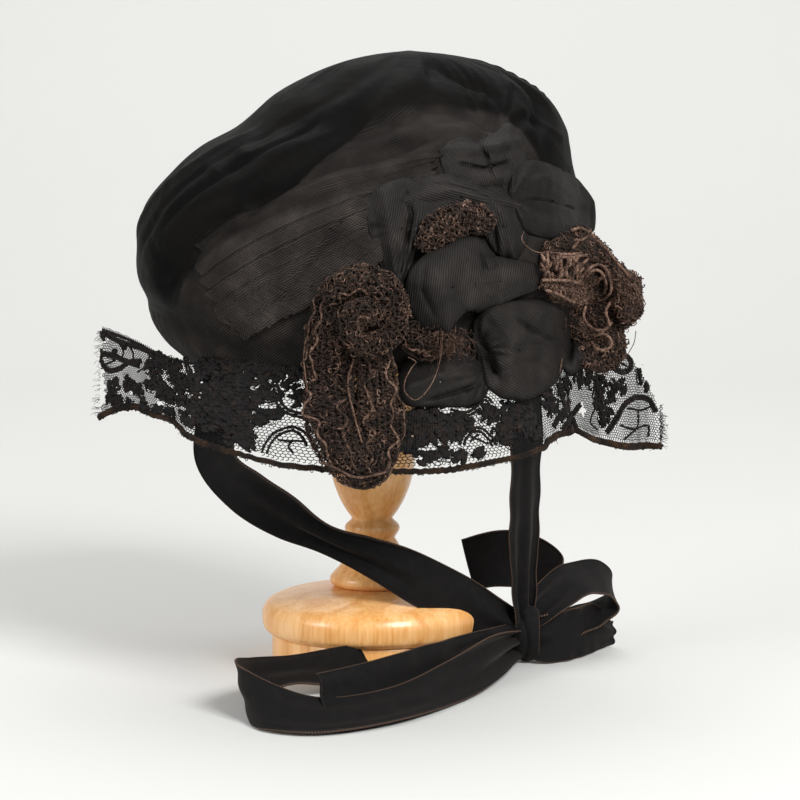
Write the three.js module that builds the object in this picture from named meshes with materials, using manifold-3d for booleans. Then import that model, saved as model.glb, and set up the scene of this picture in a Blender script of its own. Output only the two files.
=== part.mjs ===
// Soft silk bonnet with a lace frill, a trim of silk and crochet, and velvet ties,
// standing on a plain turned wooden hat stand. Millimetres, +Z up, the front faces -Y.
// The origin is the centre of the stand's underside.
import * as THREE from 'three';
import * as BufferGeometryUtils from 'three/addons/utils/BufferGeometryUtils.js';
import Module from 'manifold-3d';

const wasm = await Module();
wasm.setup();

// Driving sizes of the bonnet
const rim_height = 163;        // floor to the crown's lower edge
const crown_width = 233;       // across the puffed crown
const crown_depth = 226;       // front to back
const crown_height = 158;      // lower edge to top
const crown_wall = 1.6;        // doubled silk
const drape_wall = 2;          // ribbed silk laid over the crown
const cloth_gap = 0.3;         // between pieces that touch
const puff_wall = 1.6;         // gathered silk of the trim
const trim_reach = 50;         // scale of the trim's puffs and loops
const rim_gather_depth = 1.6;  // ripples where the crown is gathered in
const rim_gather_count = 14;
const rim_gather_rise = 14;    // how far up the crown they run

// Driving sizes of the lace
const frill_drop = 45;         // top edge to binding, measured upright
const frill_wall = 1.2;
const frill_flute_depth = 2.2;
const frill_flute_count = 9;
const binding_width = 2.2;
const binding_wall = 2;

// Driving sizes of the crochet trim
const crochet_wall = 3;
const crochet_loop_drop = 77;  // how far the long loop hangs below its coil
const crochet_loop_width = 16;
const rosette_radius = 40;
const rosette_wall = 2;
const rosette_stand_off = 17;  // from the crown to the ruffle's middle
const rosette_cup = 16;        // how far the ruffle's edge folds back
const rosette_ripple = 5;
const rosette_ripple_count = 7;

// Driving sizes of the velvet ribbon
const ribbon_width = 27;
const ribbon_wall = 1.2;
const knot_length = 16;
const knot_height = 31;
const knot_depth = 22;
const knot_side = 79.5;        // knot's middle, right of the stand's axis
const knot_back = 0;           // and behind it
const floor_gap = 0.3;         // under the ribbons that lie on the floor
const bow_reach = 150;         // scale of the bow's loops and tails

// Driving sizes of the stand
const foot_radius = 58;        // upper tier
const foot_step = 5.2;         // lower tier's radius is this much less
const foot_low_height = 17.5;
const foot_high_height = 24;   // upper tier, up to the column
const column_radius = 22.2;
const column_turning = 100;    // height of its turned lower stretch
const head_radius = 46;
const head_height = 40;
const joint_gap = 0.3;         // between the turned pieces

const full_turn = 2 * Math.PI;

// Reading tables

// Smooth value of one column at a key between the rows.
function readColumn(rows, key, column, at) {
  const last = rows.length - 1;
  let i = 0;
  while (i < last - 1 && at > rows[i + 1][key]) i += 1;
  const k = (n) => rows[Math.min(Math.max(n, 0), last)][key];
  const v = (n) => rows[Math.min(Math.max(n, 0), last)][column];
  const slope = (n) => (k(n + 1) === k(n - 1) ? 0 : (v(n + 1) - v(n - 1)) / (k(n + 1) - k(n - 1)));
  const span = k(i + 1) - k(i);
  const t = Math.min(Math.max((at - k(i)) / span, 0), 1);
  const a = 2 * t ** 3 - 3 * t ** 2 + 1;
  const b = t ** 3 - 2 * t ** 2 + t;
  const c = -2 * t ** 3 + 3 * t ** 2;
  const d = t ** 3 - t ** 2;
  return a * v(i) + b * span * slope(i) + c * v(i + 1) + d * span * slope(i + 1);
}

// Rows given without a key are spread evenly from 0 to 1.
function spread(rows) {
  return rows.map((row, n) => ({ ...row, along: n / (rows.length - 1) }));
}

// Solids

function geometryOf(points, faces) {
  const geometry = new THREE.BufferGeometry();
  geometry.setAttribute('position', new THREE.Float32BufferAttribute(points.flatMap((p) => p.toArray()), 3));
  geometry.setIndex(faces.flat());
  return geometry;
}

function solidOf(geometry) {
  const bare = geometry.clone();
  bare.deleteAttribute('normal');
  bare.deleteAttribute('uv');
  const merged = BufferGeometryUtils.mergeVertices(bare, 1e-5);
  const solid = new wasm.Manifold(new wasm.Mesh({
    numProp: 3,
    vertProperties: new Float32Array(merged.attributes.position.array),
    triVerts: new Uint32Array(merged.index.array),
  }));
  return solid;
}

function geometryFrom(solid) {
  const mesh = solid.getMesh();
  const geometry = new THREE.BufferGeometry();
  const points = [];
  for (let n = 0; n < mesh.vertProperties.length; n += mesh.numProp) {
    points.push(...mesh.vertProperties.slice(n, n + 3));
  }
  geometry.setAttribute('position', new THREE.Float32BufferAttribute(points, 3));
  geometry.setIndex([...mesh.triVerts]);
  return geometry;
}

// Normals of a grid of points; a ring grid closes on itself along its rows.
function gridNormals(grid, ring) {
  const rows = grid.length;
  const cols = grid[0].length;
  return grid.map((line, i) => line.map((point, j) => {
    const before = ring ? grid[(i - 1 + rows) % rows] : grid[Math.max(i - 1, 0)];
    const after = ring ? grid[(i + 1) % rows] : grid[Math.min(i + 1, rows - 1)];
    const along = after[j].clone().sub(before[j]);
    const across = line[Math.min(j + 1, cols - 1)].clone().sub(line[Math.max(j - 1, 0)]);
    return along.cross(across).normalize();
  }));
}

// A sheet of cloth as a closed wall: a grid of middle points, a thickness, and cells left open.
function sheetSolid({ grid, wall, ring = false, isGap = () => false, grow = 0 }) {
  const rows = grid.length;
  const cols = grid[0].length;
  const normals = gridNormals(grid, ring);
  const half = wall / 2 + grow;
  const widen = (i, j) => {
    if (grow === 0) return new THREE.Vector3();
    const move = new THREE.Vector3();
    const push = (from, to) => move.add(to.clone().sub(from).normalize().multiplyScalar(grow));
    if (j === 0) push(grid[i][1], grid[i][0]);
    if (j === cols - 1) push(grid[i][cols - 2], grid[i][cols - 1]);
    if (!ring && i === 0) push(grid[1][j], grid[0][j]);
    if (!ring && i === rows - 1) push(grid[rows - 2][j], grid[rows - 1][j]);
    return move;
  };
  const points = [];
  grid.forEach((line, i) => line.forEach((point, j) => {
    const middle = point.clone().add(widen(i, j));
    points.push(middle.clone().addScaledVector(normals[i][j], half));
    points.push(middle.clone().addScaledVector(normals[i][j], -half));
  }));
  const top = (i, j) => 2 * ((i % rows) * cols + j);
  const low = (i, j) => top(i, j) + 1;
  const cellRows = ring ? rows : rows - 1;
  const cellCols = cols - 1;
  const solidCell = (i, j) => {
    if (j < 0 || j >= cellCols) return false;
    if (!ring && (i < 0 || i >= cellRows)) return false;
    const wrapped = (i + cellRows) % cellRows;
    return grow > 0 || !isGap(wrapped, j);
  };
  const faces = [];
  const quad = (a, b, c, d) => faces.push([a, b, c], [a, c, d]);
  for (let i = 0; i < cellRows; i += 1) {
    for (let j = 0; j < cellCols; j += 1) {
      if (solidCell(i, j)) {
        quad(top(i, j), top(i + 1, j), top(i + 1, j + 1), top(i, j + 1));
        quad(low(i, j), low(i, j + 1), low(i + 1, j + 1), low(i + 1, j));
        if (!solidCell(i - 1, j)) quad(top(i, j), top(i, j + 1), low(i, j + 1), low(i, j));
        if (!solidCell(i + 1, j)) quad(top(i + 1, j + 1), top(i + 1, j), low(i + 1, j), low(i + 1, j + 1));
        if (!solidCell(i, j - 1)) quad(top(i + 1, j), top(i, j), low(i, j), low(i + 1, j));
        if (!solidCell(i, j + 1)) quad(top(i, j + 1), top(i + 1, j + 1), low(i + 1, j + 1), low(i, j + 1));
      }
    }
  }
  return solidOf(geometryOf(points, faces));
}

// Only the main lump of a cut solid is kept.
function mainLump(solid) {
  const lumps = solid.decompose();
  return lumps.reduce((best, lump) => (lump.volume() > best.volume() ? lump : best));
}

// Crown

// Plan of the crown at shares of its height: how far it reaches left, right, forward and back,
// as shares of the crown's width and depth.
const crown_sections = [
  { rise: 0.000, left: 0.416, right: 0.378, front: 0.425, back: 0.407 },
  { rise: 0.060, left: 0.463, right: 0.416, front: 0.460, back: 0.455 },
  { rise: 0.170, left: 0.511, right: 0.455, front: 0.487, back: 0.500 },
  { rise: 0.300, left: 0.525, right: 0.472, front: 0.496, back: 0.522 },
  { rise: 0.410, left: 0.519, right: 0.476, front: 0.487, back: 0.526 },
  { rise: 0.520, left: 0.494, right: 0.464, front: 0.465, back: 0.513 },
  { rise: 0.620, left: 0.436, right: 0.448, front: 0.425, back: 0.480 },
  { rise: 0.690, left: 0.376, right: 0.442, front: 0.385, back: 0.447 },
  { rise: 0.750, left: 0.300, right: 0.431, front: 0.345, back: 0.407 },
  { rise: 0.854, left: 0.219, right: 0.386, front: 0.260, back: 0.310 },
  { rise: 0.920, left: 0.139, right: 0.318, front: 0.190, back: 0.235 },
  { rise: 0.965, left: 0.061, right: 0.245, front: 0.120, back: 0.160 },
  { rise: 0.988, left: -0.010, right: 0.163, front: 0.065, back: 0.090 },
  { rise: 1.000, left: -0.082, right: 0.082, front: -0.010, back: 0.010 },
];
const section_squareness = 2.15;   // 2 is an ellipse in plan, more is squarer

// Creases that sweep from the left side up to the gathers at the top right. Places are a share
// of a turn from the front, positive to the right, and a share of the crown's height. Depth and
// width are shares of the crown's height.
const crown_creases = [
  { crease: 'roll_low', turn: -0.150, rise: 0.300, depth: 0.036, width: 0.075 },
  { crease: 'roll_low', turn: -0.086, rise: 0.504, depth: 0.036, width: 0.075 },
  { crease: 'roll_low', turn: -0.046, rise: 0.740, depth: 0.030, width: 0.065 },
  { crease: 'roll_low', turn: 0.012, rise: 0.852, depth: 0.026, width: 0.060 },
  { crease: 'roll_low', turn: 0.072, rise: 0.830, depth: 0.026, width: 0.055 },
  { crease: 'band_low', turn: -0.072, rise: 0.552, depth: 0.020, width: 0.055 },
  { crease: 'band_low', turn: -0.022, rise: 0.650, depth: 0.028, width: 0.055 },
  { crease: 'band_low', turn: 0.042, rise: 0.760, depth: 0.028, width: 0.050 },
  { crease: 'top_right', turn: 0.028, rise: 0.960, depth: 0.024, width: 0.050 },
  { crease: 'top_right', turn: 0.094, rise: 0.880, depth: 0.030, width: 0.050 },
  { crease: 'top_right', turn: 0.088, rise: 0.770, depth: 0.030, width: 0.050 },
  { crease: 'right_side', turn: 0.200, rise: 0.880, depth: 0.024, width: 0.055 },
  { crease: 'right_side', turn: 0.140, rise: 0.740, depth: 0.024, width: 0.055 },
  { crease: 'left_low', turn: -0.280, rise: 0.200, depth: 0.022, width: 0.060 },
  { crease: 'left_low', turn: -0.170, rise: 0.160, depth: 0.028, width: 0.060 },
  { crease: 'left_low', turn: -0.090, rise: 0.060, depth: 0.024, width: 0.055 },
  { crease: 'back_left', turn: -0.480, rise: 0.120, depth: 0.026, width: 0.070 },
  { crease: 'back_left', turn: -0.380, rise: 0.620, depth: 0.022, width: 0.070 },
  { crease: 'back_right', turn: 0.430, rise: 0.120, depth: 0.026, width: 0.070 },
  { crease: 'back_right', turn: 0.330, rise: 0.640, depth: 0.022, width: 0.070 },
];

// Point of the crown without its folds. Below the rim it goes straight down.
function crownBase(turn, rise) {
  const at = Math.max(rise, 0);
  const share = (column) => readColumn(crown_sections, 'rise', column, at);
  const middleX = (share('right') - share('left')) / 2 * crown_width;
  const middleY = (share('back') - share('front')) / 2 * crown_depth;
  const halfX = (share('right') + share('left')) / 2 * crown_width;
  const halfY = (share('back') + share('front')) / 2 * crown_depth;
  const angle = full_turn * turn;
  const bend = (value) => Math.sign(value) * Math.abs(value) ** (2 / section_squareness);
  return new THREE.Vector3(
    middleX + halfX * bend(Math.sin(angle)),
    middleY - halfY * bend(Math.cos(angle)),
    rim_height + crown_height * rise,
  );
}

function crownNormal(turn, rise) {
  const step = 0.004;
  const along = crownBase(turn + step, rise).sub(crownBase(turn - step, rise));
  const upper = Math.min(rise + step, 1 - step);
  const up = crownBase(turn, upper).sub(crownBase(turn, upper - 2 * step));
  return along.cross(up).normalize();
}

// How far a place is from a stretch of a crease, measured along the cloth, and what the
// crease's depth and width are there.
function nearStretch(from, to, turn, rise) {
  const girth = Math.PI * (crown_width + crown_depth) / 2;
  const dx = (to.turn - from.turn) * girth;
  const dz = (to.rise - from.rise) * crown_height;
  const px = (turn - from.turn) * girth;
  const pz = (rise - from.rise) * crown_height;
  const t = Math.min(Math.max((px * dx + pz * dz) / (dx * dx + dz * dz), 0), 1);
  return {
    distance: Math.hypot(px - t * dx, pz - t * dz),
    depth: (from.depth + t * (to.depth - from.depth)) * crown_height,
    width: (from.width + t * (to.width - from.width)) * crown_height,
  };
}

function foldDepth(turn, rise) {
  const deepest = {};
  crown_creases.slice(1).forEach((to, n) => {
    const from = crown_creases[n];
    if (from.crease !== to.crease) return;
    const near = nearStretch(from, to, turn, rise);
    const depth = near.depth * Math.exp(-((near.distance / near.width) ** 2));
    deepest[to.crease] = Math.max(deepest[to.crease] ?? 0, depth);
  });
  const creases = Object.values(deepest).reduce((sum, depth) => sum + depth, 0);
  const fade = Math.exp(-rise * crown_height / rim_gather_rise);
  const gathers = rim_gather_depth * fade * (1 + Math.cos(full_turn * rim_gather_count * turn)) / 2;
  return creases + gathers;
}

function crownPoint(turn, rise, out = 0) {
  const lift = out - foldDepth(turn, rise);
  return crownBase(turn, rise).addScaledVector(crownNormal(turn, rise), lift);
}

const crown_columns = 36;
const crown_rises = [0, 0.045, 0.11, 0.19, 0.28, 0.37, 0.45, 0.53, 0.6, 0.67, 0.74, 0.8, 0.86, 0.92, 0.97];

// The crown's surface, moved out by a distance, as a closed dome with a flat bottom.
function crownDome(out, bottom) {
  const points = [];
  const levels = bottom === undefined ? crown_rises : [bottom, ...crown_rises];
  levels.forEach((rise) => {
    for (let n = 0; n < crown_columns; n += 1) {
      const turn = n / crown_columns;
      const point = crownPoint(turn > 0.5 ? turn - 1 : turn, Math.max(rise, 0), out);
      point.z = rise <= 0 ? rim_height + crown_height * rise : point.z;
      points.push(point);
    }
  });
  const topIndex = points.length;
  points.push(crownBase(0, 1).setZ(rim_height + crown_height + out));
  const lowIndex = points.length;
  points.push(new THREE.Vector3(0, 0, points[0].z));
  const faces = [];
  const at = (level, n) => level * crown_columns + (n % crown_columns);
  for (let n = 0; n < crown_columns; n += 1) {
    for (let level = 0; level < levels.length - 1; level += 1) {
      faces.push([at(level, n), at(level, n + 1), at(level + 1, n + 1)]);
      faces.push([at(level, n), at(level + 1, n + 1), at(level + 1, n)]);
    }
    faces.push([at(levels.length - 1, n), at(levels.length - 1, n + 1), topIndex]);
    faces.push([at(0, n + 1), at(0, n), lowIndex]);
  }
  return solidOf(geometryOf(points, faces));
}

// The hollow reaches below the rim, so that the crown is open for the head.
const mouth_depth = -0.05;
const crown_solid = crownDome(0).subtract(crownDome(-crown_wall, mouth_depth));

// What a new piece has to keep clear of, each swollen by the cloth gap: the trim sits outside the
// crown and the space below it, and the ribbons may pass inside.
const under_crown = -0.3;
const rim_reach = 12;          // ribbons stay off the crown's outside too
const tie_room = 3.5;          // and the trim leaves this much room for them round the rim
const trim_neighbours = [
  crownDome(cloth_gap),
  crownDome(tie_room, under_crown).subtract(crownDome(rim_reach)),
];
const ribbon_neighbours = [crownDome(rim_reach).subtract(crownDome(-crown_wall - cloth_gap, mouth_depth))];

// A piece is cut back from its neighbours, and later pieces keep clear of it.
function seat(neighbours, raw, swollen) {
  const cut = neighbours.reduce((solid, other) => solid.subtract(other), raw);
  neighbours.push(swollen);
  return mainLump(cut);
}

function seatSheet(neighbours, sheet) {
  return seat(neighbours, sheetSolid(sheet), sheetSolid({ ...sheet, grow: cloth_gap }));
}

// Lace frill

// The frill's top edge in plan, as shares of the crown's width and depth, its top and lower edge
// from the rim as shares of the drop, and how far the lower edge flares out, as a share of the
// drop. The first and last rows are the free ends at the sides.
const frill_rows = spread([
  { side: -0.592, ahead: 0.111, top: 0.33, low: -0.66, flare: 0.06 },
  { side: -0.524, ahead: 0.159, top: 0.23, low: -0.64, flare: 0.08 },
  { side: -0.436, ahead: 0.226, top: 0.06, low: -0.69, flare: 0.14 },
  { side: -0.330, ahead: 0.325, top: 0.03, low: -0.79, flare: 0.30 },
  { side: -0.180, ahead: 0.412, top: 0.03, low: -0.94, flare: 0.46 },
  { side: 0.000, ahead: 0.440, top: 0.03, low: -1.00, flare: 0.50 },
  { side: 0.160, ahead: 0.412, top: 0.03, low: -0.96, flare: 0.48 },
  { side: 0.275, ahead: 0.340, top: 0.03, low: -0.86, flare: 0.44 },
  { side: 0.364, ahead: 0.236, top: 0.03, low: -0.73, flare: 0.34 },
  { side: 0.420, ahead: 0.180, top: 0.00, low: -0.72, flare: 0.18 },
  { side: 0.481, ahead: 0.152, top: 0.00, low: -0.86, flare: 0.12 },
  { side: 0.556, ahead: 0.132, top: -0.02, low: -0.95, flare: 0.10 },
  { side: 0.620, ahead: 0.115, top: -0.07, low: -0.96, flare: 0.08 },
]);
const frill_columns = 60;
const frill_bands = 5;

function frillPoint(along, down) {
  const read = (column) => readColumn(frill_rows, 'along', column, along);
  const step = 0.01;
  const x = (at) => readColumn(frill_rows, 'along', 'side', at) * crown_width;
  const y = (at) => -readColumn(frill_rows, 'along', 'ahead', at) * crown_depth;
  const before = Math.max(along - step, 0);
  const after = Math.min(along + step, 1);
  const out = new THREE.Vector3(y(after) - y(before), -(x(after) - x(before)), 0).normalize();
  const flute = frill_flute_depth * down * Math.sin(full_turn * frill_flute_count * along);
  const flare = read('flare') * frill_drop * down + flute;
  const z = rim_height + frill_drop * (read('top') + (read('low') - read('top')) * down);
  return new THREE.Vector3(x(along), y(along), z).addScaledVector(out, flare);
}

const frill_grid = Array.from({ length: frill_columns + 1 }, (_, i) => (
  Array.from({ length: frill_bands + 1 }, (__, j) => frillPoint(i / frill_columns, j / frill_bands))
));

// The net's openings, in two staggered lines between the worked edges.
function isNetGap(i, j) {
  return (j === 1 && i % 2 === 1) || (j === 3 && i % 2 === 0 && i > 0);
}
const frill_sheet = { grid: frill_grid, wall: frill_wall, isGap: isNetGap };
const frill_solid = sheetSolid(frill_sheet).subtract(crownDome(cloth_gap));

// The binding hangs just under the frill's lower edge and follows it.
function bindingGrid() {
  return frill_grid.map((line) => {
    const edge = line[frill_bands];
    const down = edge.clone().sub(line[frill_bands - 1]).normalize();
    return [cloth_gap, cloth_gap + binding_width].map((reach) => edge.clone().addScaledVector(down, reach));
  });
}
const binding_sheet = { grid: bindingGrid(), wall: binding_wall };
const binding_solid = sheetSolid(binding_sheet);
[frill_sheet, binding_sheet].forEach((sheet) => {
  const swollen = sheetSolid({ ...sheet, grow: cloth_gap });
  trim_neighbours.push(swollen);
  ribbon_neighbours.push(swollen);
});

// The trim also stays out of the space behind the frill, where the ties hang.
const behind_frill = 24;
const frill_normals = gridNormals(frill_grid, false);
const behind_grid = frill_grid.map((line, i) => line.map((point, j) => (
  point.clone().addScaledVector(frill_normals[i][j], behind_frill / 2)
)));
trim_neighbours.push(sheetSolid({ grid: behind_grid, wall: behind_frill }));

// Ribbed silk draped over the crown's front left

// Lower and upper edge of the drape, from its torn left corner to the gathers.
const drape_rows = spread([
  { low_turn: -0.084, low_rise: 0.095, top_turn: -0.124, top_rise: 0.400 },
  { low_turn: -0.054, low_rise: 0.160, top_turn: -0.086, top_rise: 0.510 },
  { low_turn: -0.016, low_rise: 0.240, top_turn: -0.050, top_rise: 0.600 },
  { low_turn: 0.010, low_rise: 0.340, top_turn: -0.010, top_rise: 0.650 },
  { low_turn: 0.040, low_rise: 0.530, top_turn: 0.042, top_rise: 0.680 },
]);
const drape_columns = 16;
const drape_bands = 8;

function drapeGrid(out) {
  const read = (column, along) => readColumn(drape_rows, 'along', column, along);
  return Array.from({ length: drape_columns + 1 }, (_, i) => (
    Array.from({ length: drape_bands + 1 }, (__, j) => {
      const along = i / drape_columns;
      const up = j / drape_bands;
      const turn = read('low_turn', along) + (read('top_turn', along) - read('low_turn', along)) * up;
      const rise = read('low_rise', along) + (read('top_rise', along) - read('low_rise', along)) * up;
      return crownPoint(turn, rise, out);
    })
  ));
}
// It is modelled a little too thick towards the crown, and the seat takes off what is too much.
const drape_sheet = { grid: drapeGrid(cloth_gap + drape_wall / 4), wall: drape_wall * 1.5 };
const drape_solid = seatSheet(trim_neighbours, drape_sheet);

// Puffs and loops of silk and crochet

// Place on the crown, the way each one faces (share of a turn and degrees up), its size, lift and
// depth of gathers as shares of the trim's reach, and its outline as shares of its size at eight
// points.
const puff_rows = [
  { name: 'silk_puff_top', turn: 0.086, rise: 0.672, face: 0.070, tilt: 35, size: 0.40, lift: 0.16,
    ripple: 0.032, e: 0.95, ne: 0.90, n: 0.80, nw: 0.85, w: 1.00, sw: 0.85, s: 0.80, se: 0.85 },
  { name: 'silk_puff_upper', turn: 0.160, rise: 0.504, face: 0.110, tilt: 5, size: 0.42, lift: 0.30,
    ripple: 0.032, e: 1.00, ne: 0.90, n: 0.80, nw: 0.75, w: 0.95, sw: 0.85, s: 0.83, se: 0.95 },
  { name: 'crochet_peek', turn: 0.060, rise: 0.440, face: 0.050, tilt: 8, size: 0.36, lift: 0.12,
    ripple: 0.012, e: 0.80, ne: 1.00, n: 0.50, nw: 0.42, w: 0.80, sw: 1.00, s: 0.50, se: 0.42 },
  { name: 'silk_fold_left', turn: 0.056, rise: 0.000, face: 0.030, tilt: -8, size: 0.46, lift: 0.34,
    ripple: 0.024, e: 1.00, ne: 0.75, n: 0.60, nw: 0.70, w: 1.00, sw: 0.80, s: 0.62, se: 0.75 },
  { name: 'silk_puff_lower', turn: 0.130, rise: 0.060, face: 0.085, tilt: -6, size: 0.56, lift: 0.52,
    ripple: 0.040, e: 1.00, ne: 0.95, n: 0.72, nw: 0.80, w: 0.80, sw: 0.85, s: 0.80, se: 0.90 },
  { name: 'silk_loop_centre', turn: 0.072, rise: 0.290, face: 0.050, tilt: 0, size: 0.66, lift: 0.48,
    ripple: 0.044, e: 1.00, ne: 0.74, n: 0.64, nw: 0.84, w: 0.96, sw: 0.88, s: 0.80, se: 0.74 },
  { name: 'crochet_coil', turn: 0.002, rise: 0.190, face: 0.000, tilt: 0, size: 0.36, lift: 0.34,
    ripple: 0.016, e: 0.86, ne: 0.90, n: 1.00, nw: 0.95, w: 0.90, sw: 0.95, s: 1.00, se: 0.95 },
];
const compass = ['e', 'ne', 'n', 'nw', 'w', 'sw', 's', 'se'];
const puff_spokes = 14;
const puff_rings = 4;
const puff_roundness = 2.3;    // 2 is a half ellipse in section, more is fuller
const puff_gathers = 5;
const puff_root = 24;          // the plug reaches this far into the crown before it is cut

function outlineReach(row, share) {
  const place = share * compass.length;
  const n = Math.floor(place);
  const blend = (1 - Math.cos(Math.PI * (place - n))) / 2;
  const near = row[compass[n % compass.length]];
  const next = row[compass[(n + 1) % compass.length]];
  return near + (next - near) * blend;
}

function facing(face, tilt) {
  const a = full_turn * face;
  const b = THREE.MathUtils.degToRad(tilt);
  return {
    out: new THREE.Vector3(Math.sin(a) * Math.cos(b), -Math.cos(a) * Math.cos(b), Math.sin(b)),
    side: new THREE.Vector3(Math.cos(a), Math.sin(a), 0),
    up: new THREE.Vector3(-Math.sin(a) * Math.sin(b), Math.cos(a) * Math.sin(b), Math.cos(b)),
  };
}

// A rounded plug, swollen by a distance, whose root is sunk in the crown.
function puffPlug(row, swell) {
  const { out, side, up } = facing(row.face, row.tilt);
  const foot = crownPoint(row.turn, row.rise);
  const lift = row.lift * trim_reach + swell;
  const place = (share, ring, height) => {
    const reach = (row.size * trim_reach * outlineReach(row, share) + swell) * ring;
    const angle = full_turn * share;
    return foot.clone()
      .addScaledVector(side, reach * Math.cos(angle))
      .addScaledVector(up, reach * Math.sin(angle))
      .addScaledVector(out, height);
  };
  const points = [foot.clone().addScaledVector(out, lift)];
  for (let k = 1; k <= puff_rings; k += 1) {
    const ring = Math.sin(Math.PI / 2 * k / puff_rings);
    const dome = (1 - ring ** puff_roundness) ** (1 / puff_roundness);
    for (let n = 0; n < puff_spokes; n += 1) {
      const share = n / puff_spokes;
      const gather = row.ripple * trim_reach * ring * Math.cos(full_turn * puff_gathers * share);
      points.push(place(share, ring, (lift + gather) * dome));
    }
  }
  for (let n = 0; n < puff_spokes; n += 1) points.push(place(n / puff_spokes, 1, -puff_root));
  const root = points.length;
  points.push(foot.clone().addScaledVector(out, -puff_root));
  const at = (k, n) => 1 + (k - 1) * puff_spokes + (n % puff_spokes);
  const faces = [];
  for (let n = 0; n < puff_spokes; n += 1) {
    faces.push([0, at(1, n), at(1, n + 1)]);
    for (let k = 1; k <= puff_rings; k += 1) {
      faces.push([at(k, n), at(k + 1, n), at(k + 1, n + 1)], [at(k, n), at(k + 1, n + 1), at(k, n + 1)]);
    }
    faces.push([at(puff_rings + 1, n + 1), at(puff_rings + 1, n), root]);
  }
  return solidOf(geometryOf(points, faces));
}

const puff_solids = Object.fromEntries(puff_rows.map((row) => {
  const wall = row.name.startsWith('crochet') ? crochet_wall : puff_wall;
  const shell = puffPlug(row, 0).subtract(puffPlug(row, -wall));
  return [row.name, seat(trim_neighbours, shell, puffPlug(row, cloth_gap))];
}));

// Long hanging crochet loop

// Middle line of the loop from the coil down and back up, as shares of its drop from the coil's
// middle, its place ahead of the axis as a share of the crown's depth, and its width.
const crochet_loop_rows = spread([
  { across: -0.27, down: -0.06, ahead: 0.534, width: 0.80 },
  { across: -0.31, down: 0.12, ahead: 0.538, width: 0.95 },
  { across: -0.30, down: 0.33, ahead: 0.536, width: 1.00 },
  { across: -0.28, down: 0.54, ahead: 0.542, width: 1.00 },
  { across: -0.24, down: 0.76, ahead: 0.560, width: 0.98 },
  { across: -0.14, down: 0.93, ahead: 0.570, width: 0.95 },
  { across: -0.02, down: 1.00, ahead: 0.573, width: 0.90 },
  { across: 0.09, down: 0.90, ahead: 0.571, width: 0.85 },
  { across: 0.11, down: 0.69, ahead: 0.558, width: 0.85 },
  { across: 0.08, down: 0.48, ahead: 0.545, width: 0.80 },
  { across: 0.02, down: 0.29, ahead: 0.538, width: 0.70 },
]);
const crochet_loop_steps = 24;
const crochet_loop_bands = 5;

function crochetLoopGrid() {
  const coil_row = puff_rows.find((row) => row.name === 'crochet_coil');
  const coil = crownBase(coil_row.turn, coil_row.rise);
  const read = (column, along) => readColumn(crochet_loop_rows, 'along', column, along);
  const middle = (along) => new THREE.Vector3(
    coil.x + read('across', along) * crochet_loop_drop,
    -read('ahead', along) * crown_depth,
    coil.z - read('down', along) * crochet_loop_drop,
  );
  const step = 0.01;
  return Array.from({ length: crochet_loop_steps + 1 }, (_, i) => {
    const along = i / crochet_loop_steps;
    const run = middle(Math.min(along + step, 1)).sub(middle(Math.max(along - step, 0))).normalize();
    const across = new THREE.Vector3(run.z, 0, -run.x).normalize();
    const half = read('width', along) * crochet_loop_width / 2;
    return Array.from({ length: crochet_loop_bands + 1 }, (__, j) => (
      middle(along).addScaledVector(across, half * (2 * j / crochet_loop_bands - 1))
    ));
  });
}
const isLoopGap = (i, j) => (j === 1 && i % 3 === 1) || (j === 3 && i % 3 === 2);
const crochet_loop_sheet = { grid: crochetLoopGrid(), wall: crochet_wall, isGap: isLoopGap };
const crochet_loop_solid = seatSheet(trim_neighbours, crochet_loop_sheet);

// Crochet rosette at the right, a ruffle that folds back at its edge

const rosette_row = { turn: 0.205, rise: 0.225, face: 0.090, tilt: 4,
  e: 0.80, ne: 0.90, n: 0.92, nw: 0.85, w: 0.62, sw: 0.72, s: 1.00, se: 0.92 };
const rosette_spokes = 36;
const rosette_bands = 4;
const rosette_core = 0.22;     // share of the radius taken up by the gathered middle

function rosetteGrid() {
  const { out, side, up } = facing(rosette_row.face, rosette_row.tilt);
  const foot = crownBase(rosette_row.turn, rosette_row.rise).addScaledVector(out, rosette_stand_off);
  return Array.from({ length: rosette_spokes }, (_, i) => (
    Array.from({ length: rosette_bands + 1 }, (__, j) => {
      const share = i / rosette_spokes;
      const ring = rosette_core + (1 - rosette_core) * j / rosette_bands;
      const reach = rosette_radius * outlineReach(rosette_row, share) * ring;
      const ripple = rosette_ripple * ring * Math.cos(full_turn * rosette_ripple_count * share);
      const angle = full_turn * share;
      return foot.clone()
        .addScaledVector(side, reach * Math.cos(angle))
        .addScaledVector(up, reach * Math.sin(angle))
        .addScaledVector(out, ripple - rosette_cup * ring ** 3);
    })
  ));
}
const isRosetteGap = (i, j) => j === 2 && i % 3 === 1;
const rosette_sheet = { grid: rosetteGrid(), wall: rosette_wall, ring: true, isGap: isRosetteGap };
const rosette_solid = seatSheet(trim_neighbours, rosette_sheet);

// Turned wooden stand

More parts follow.
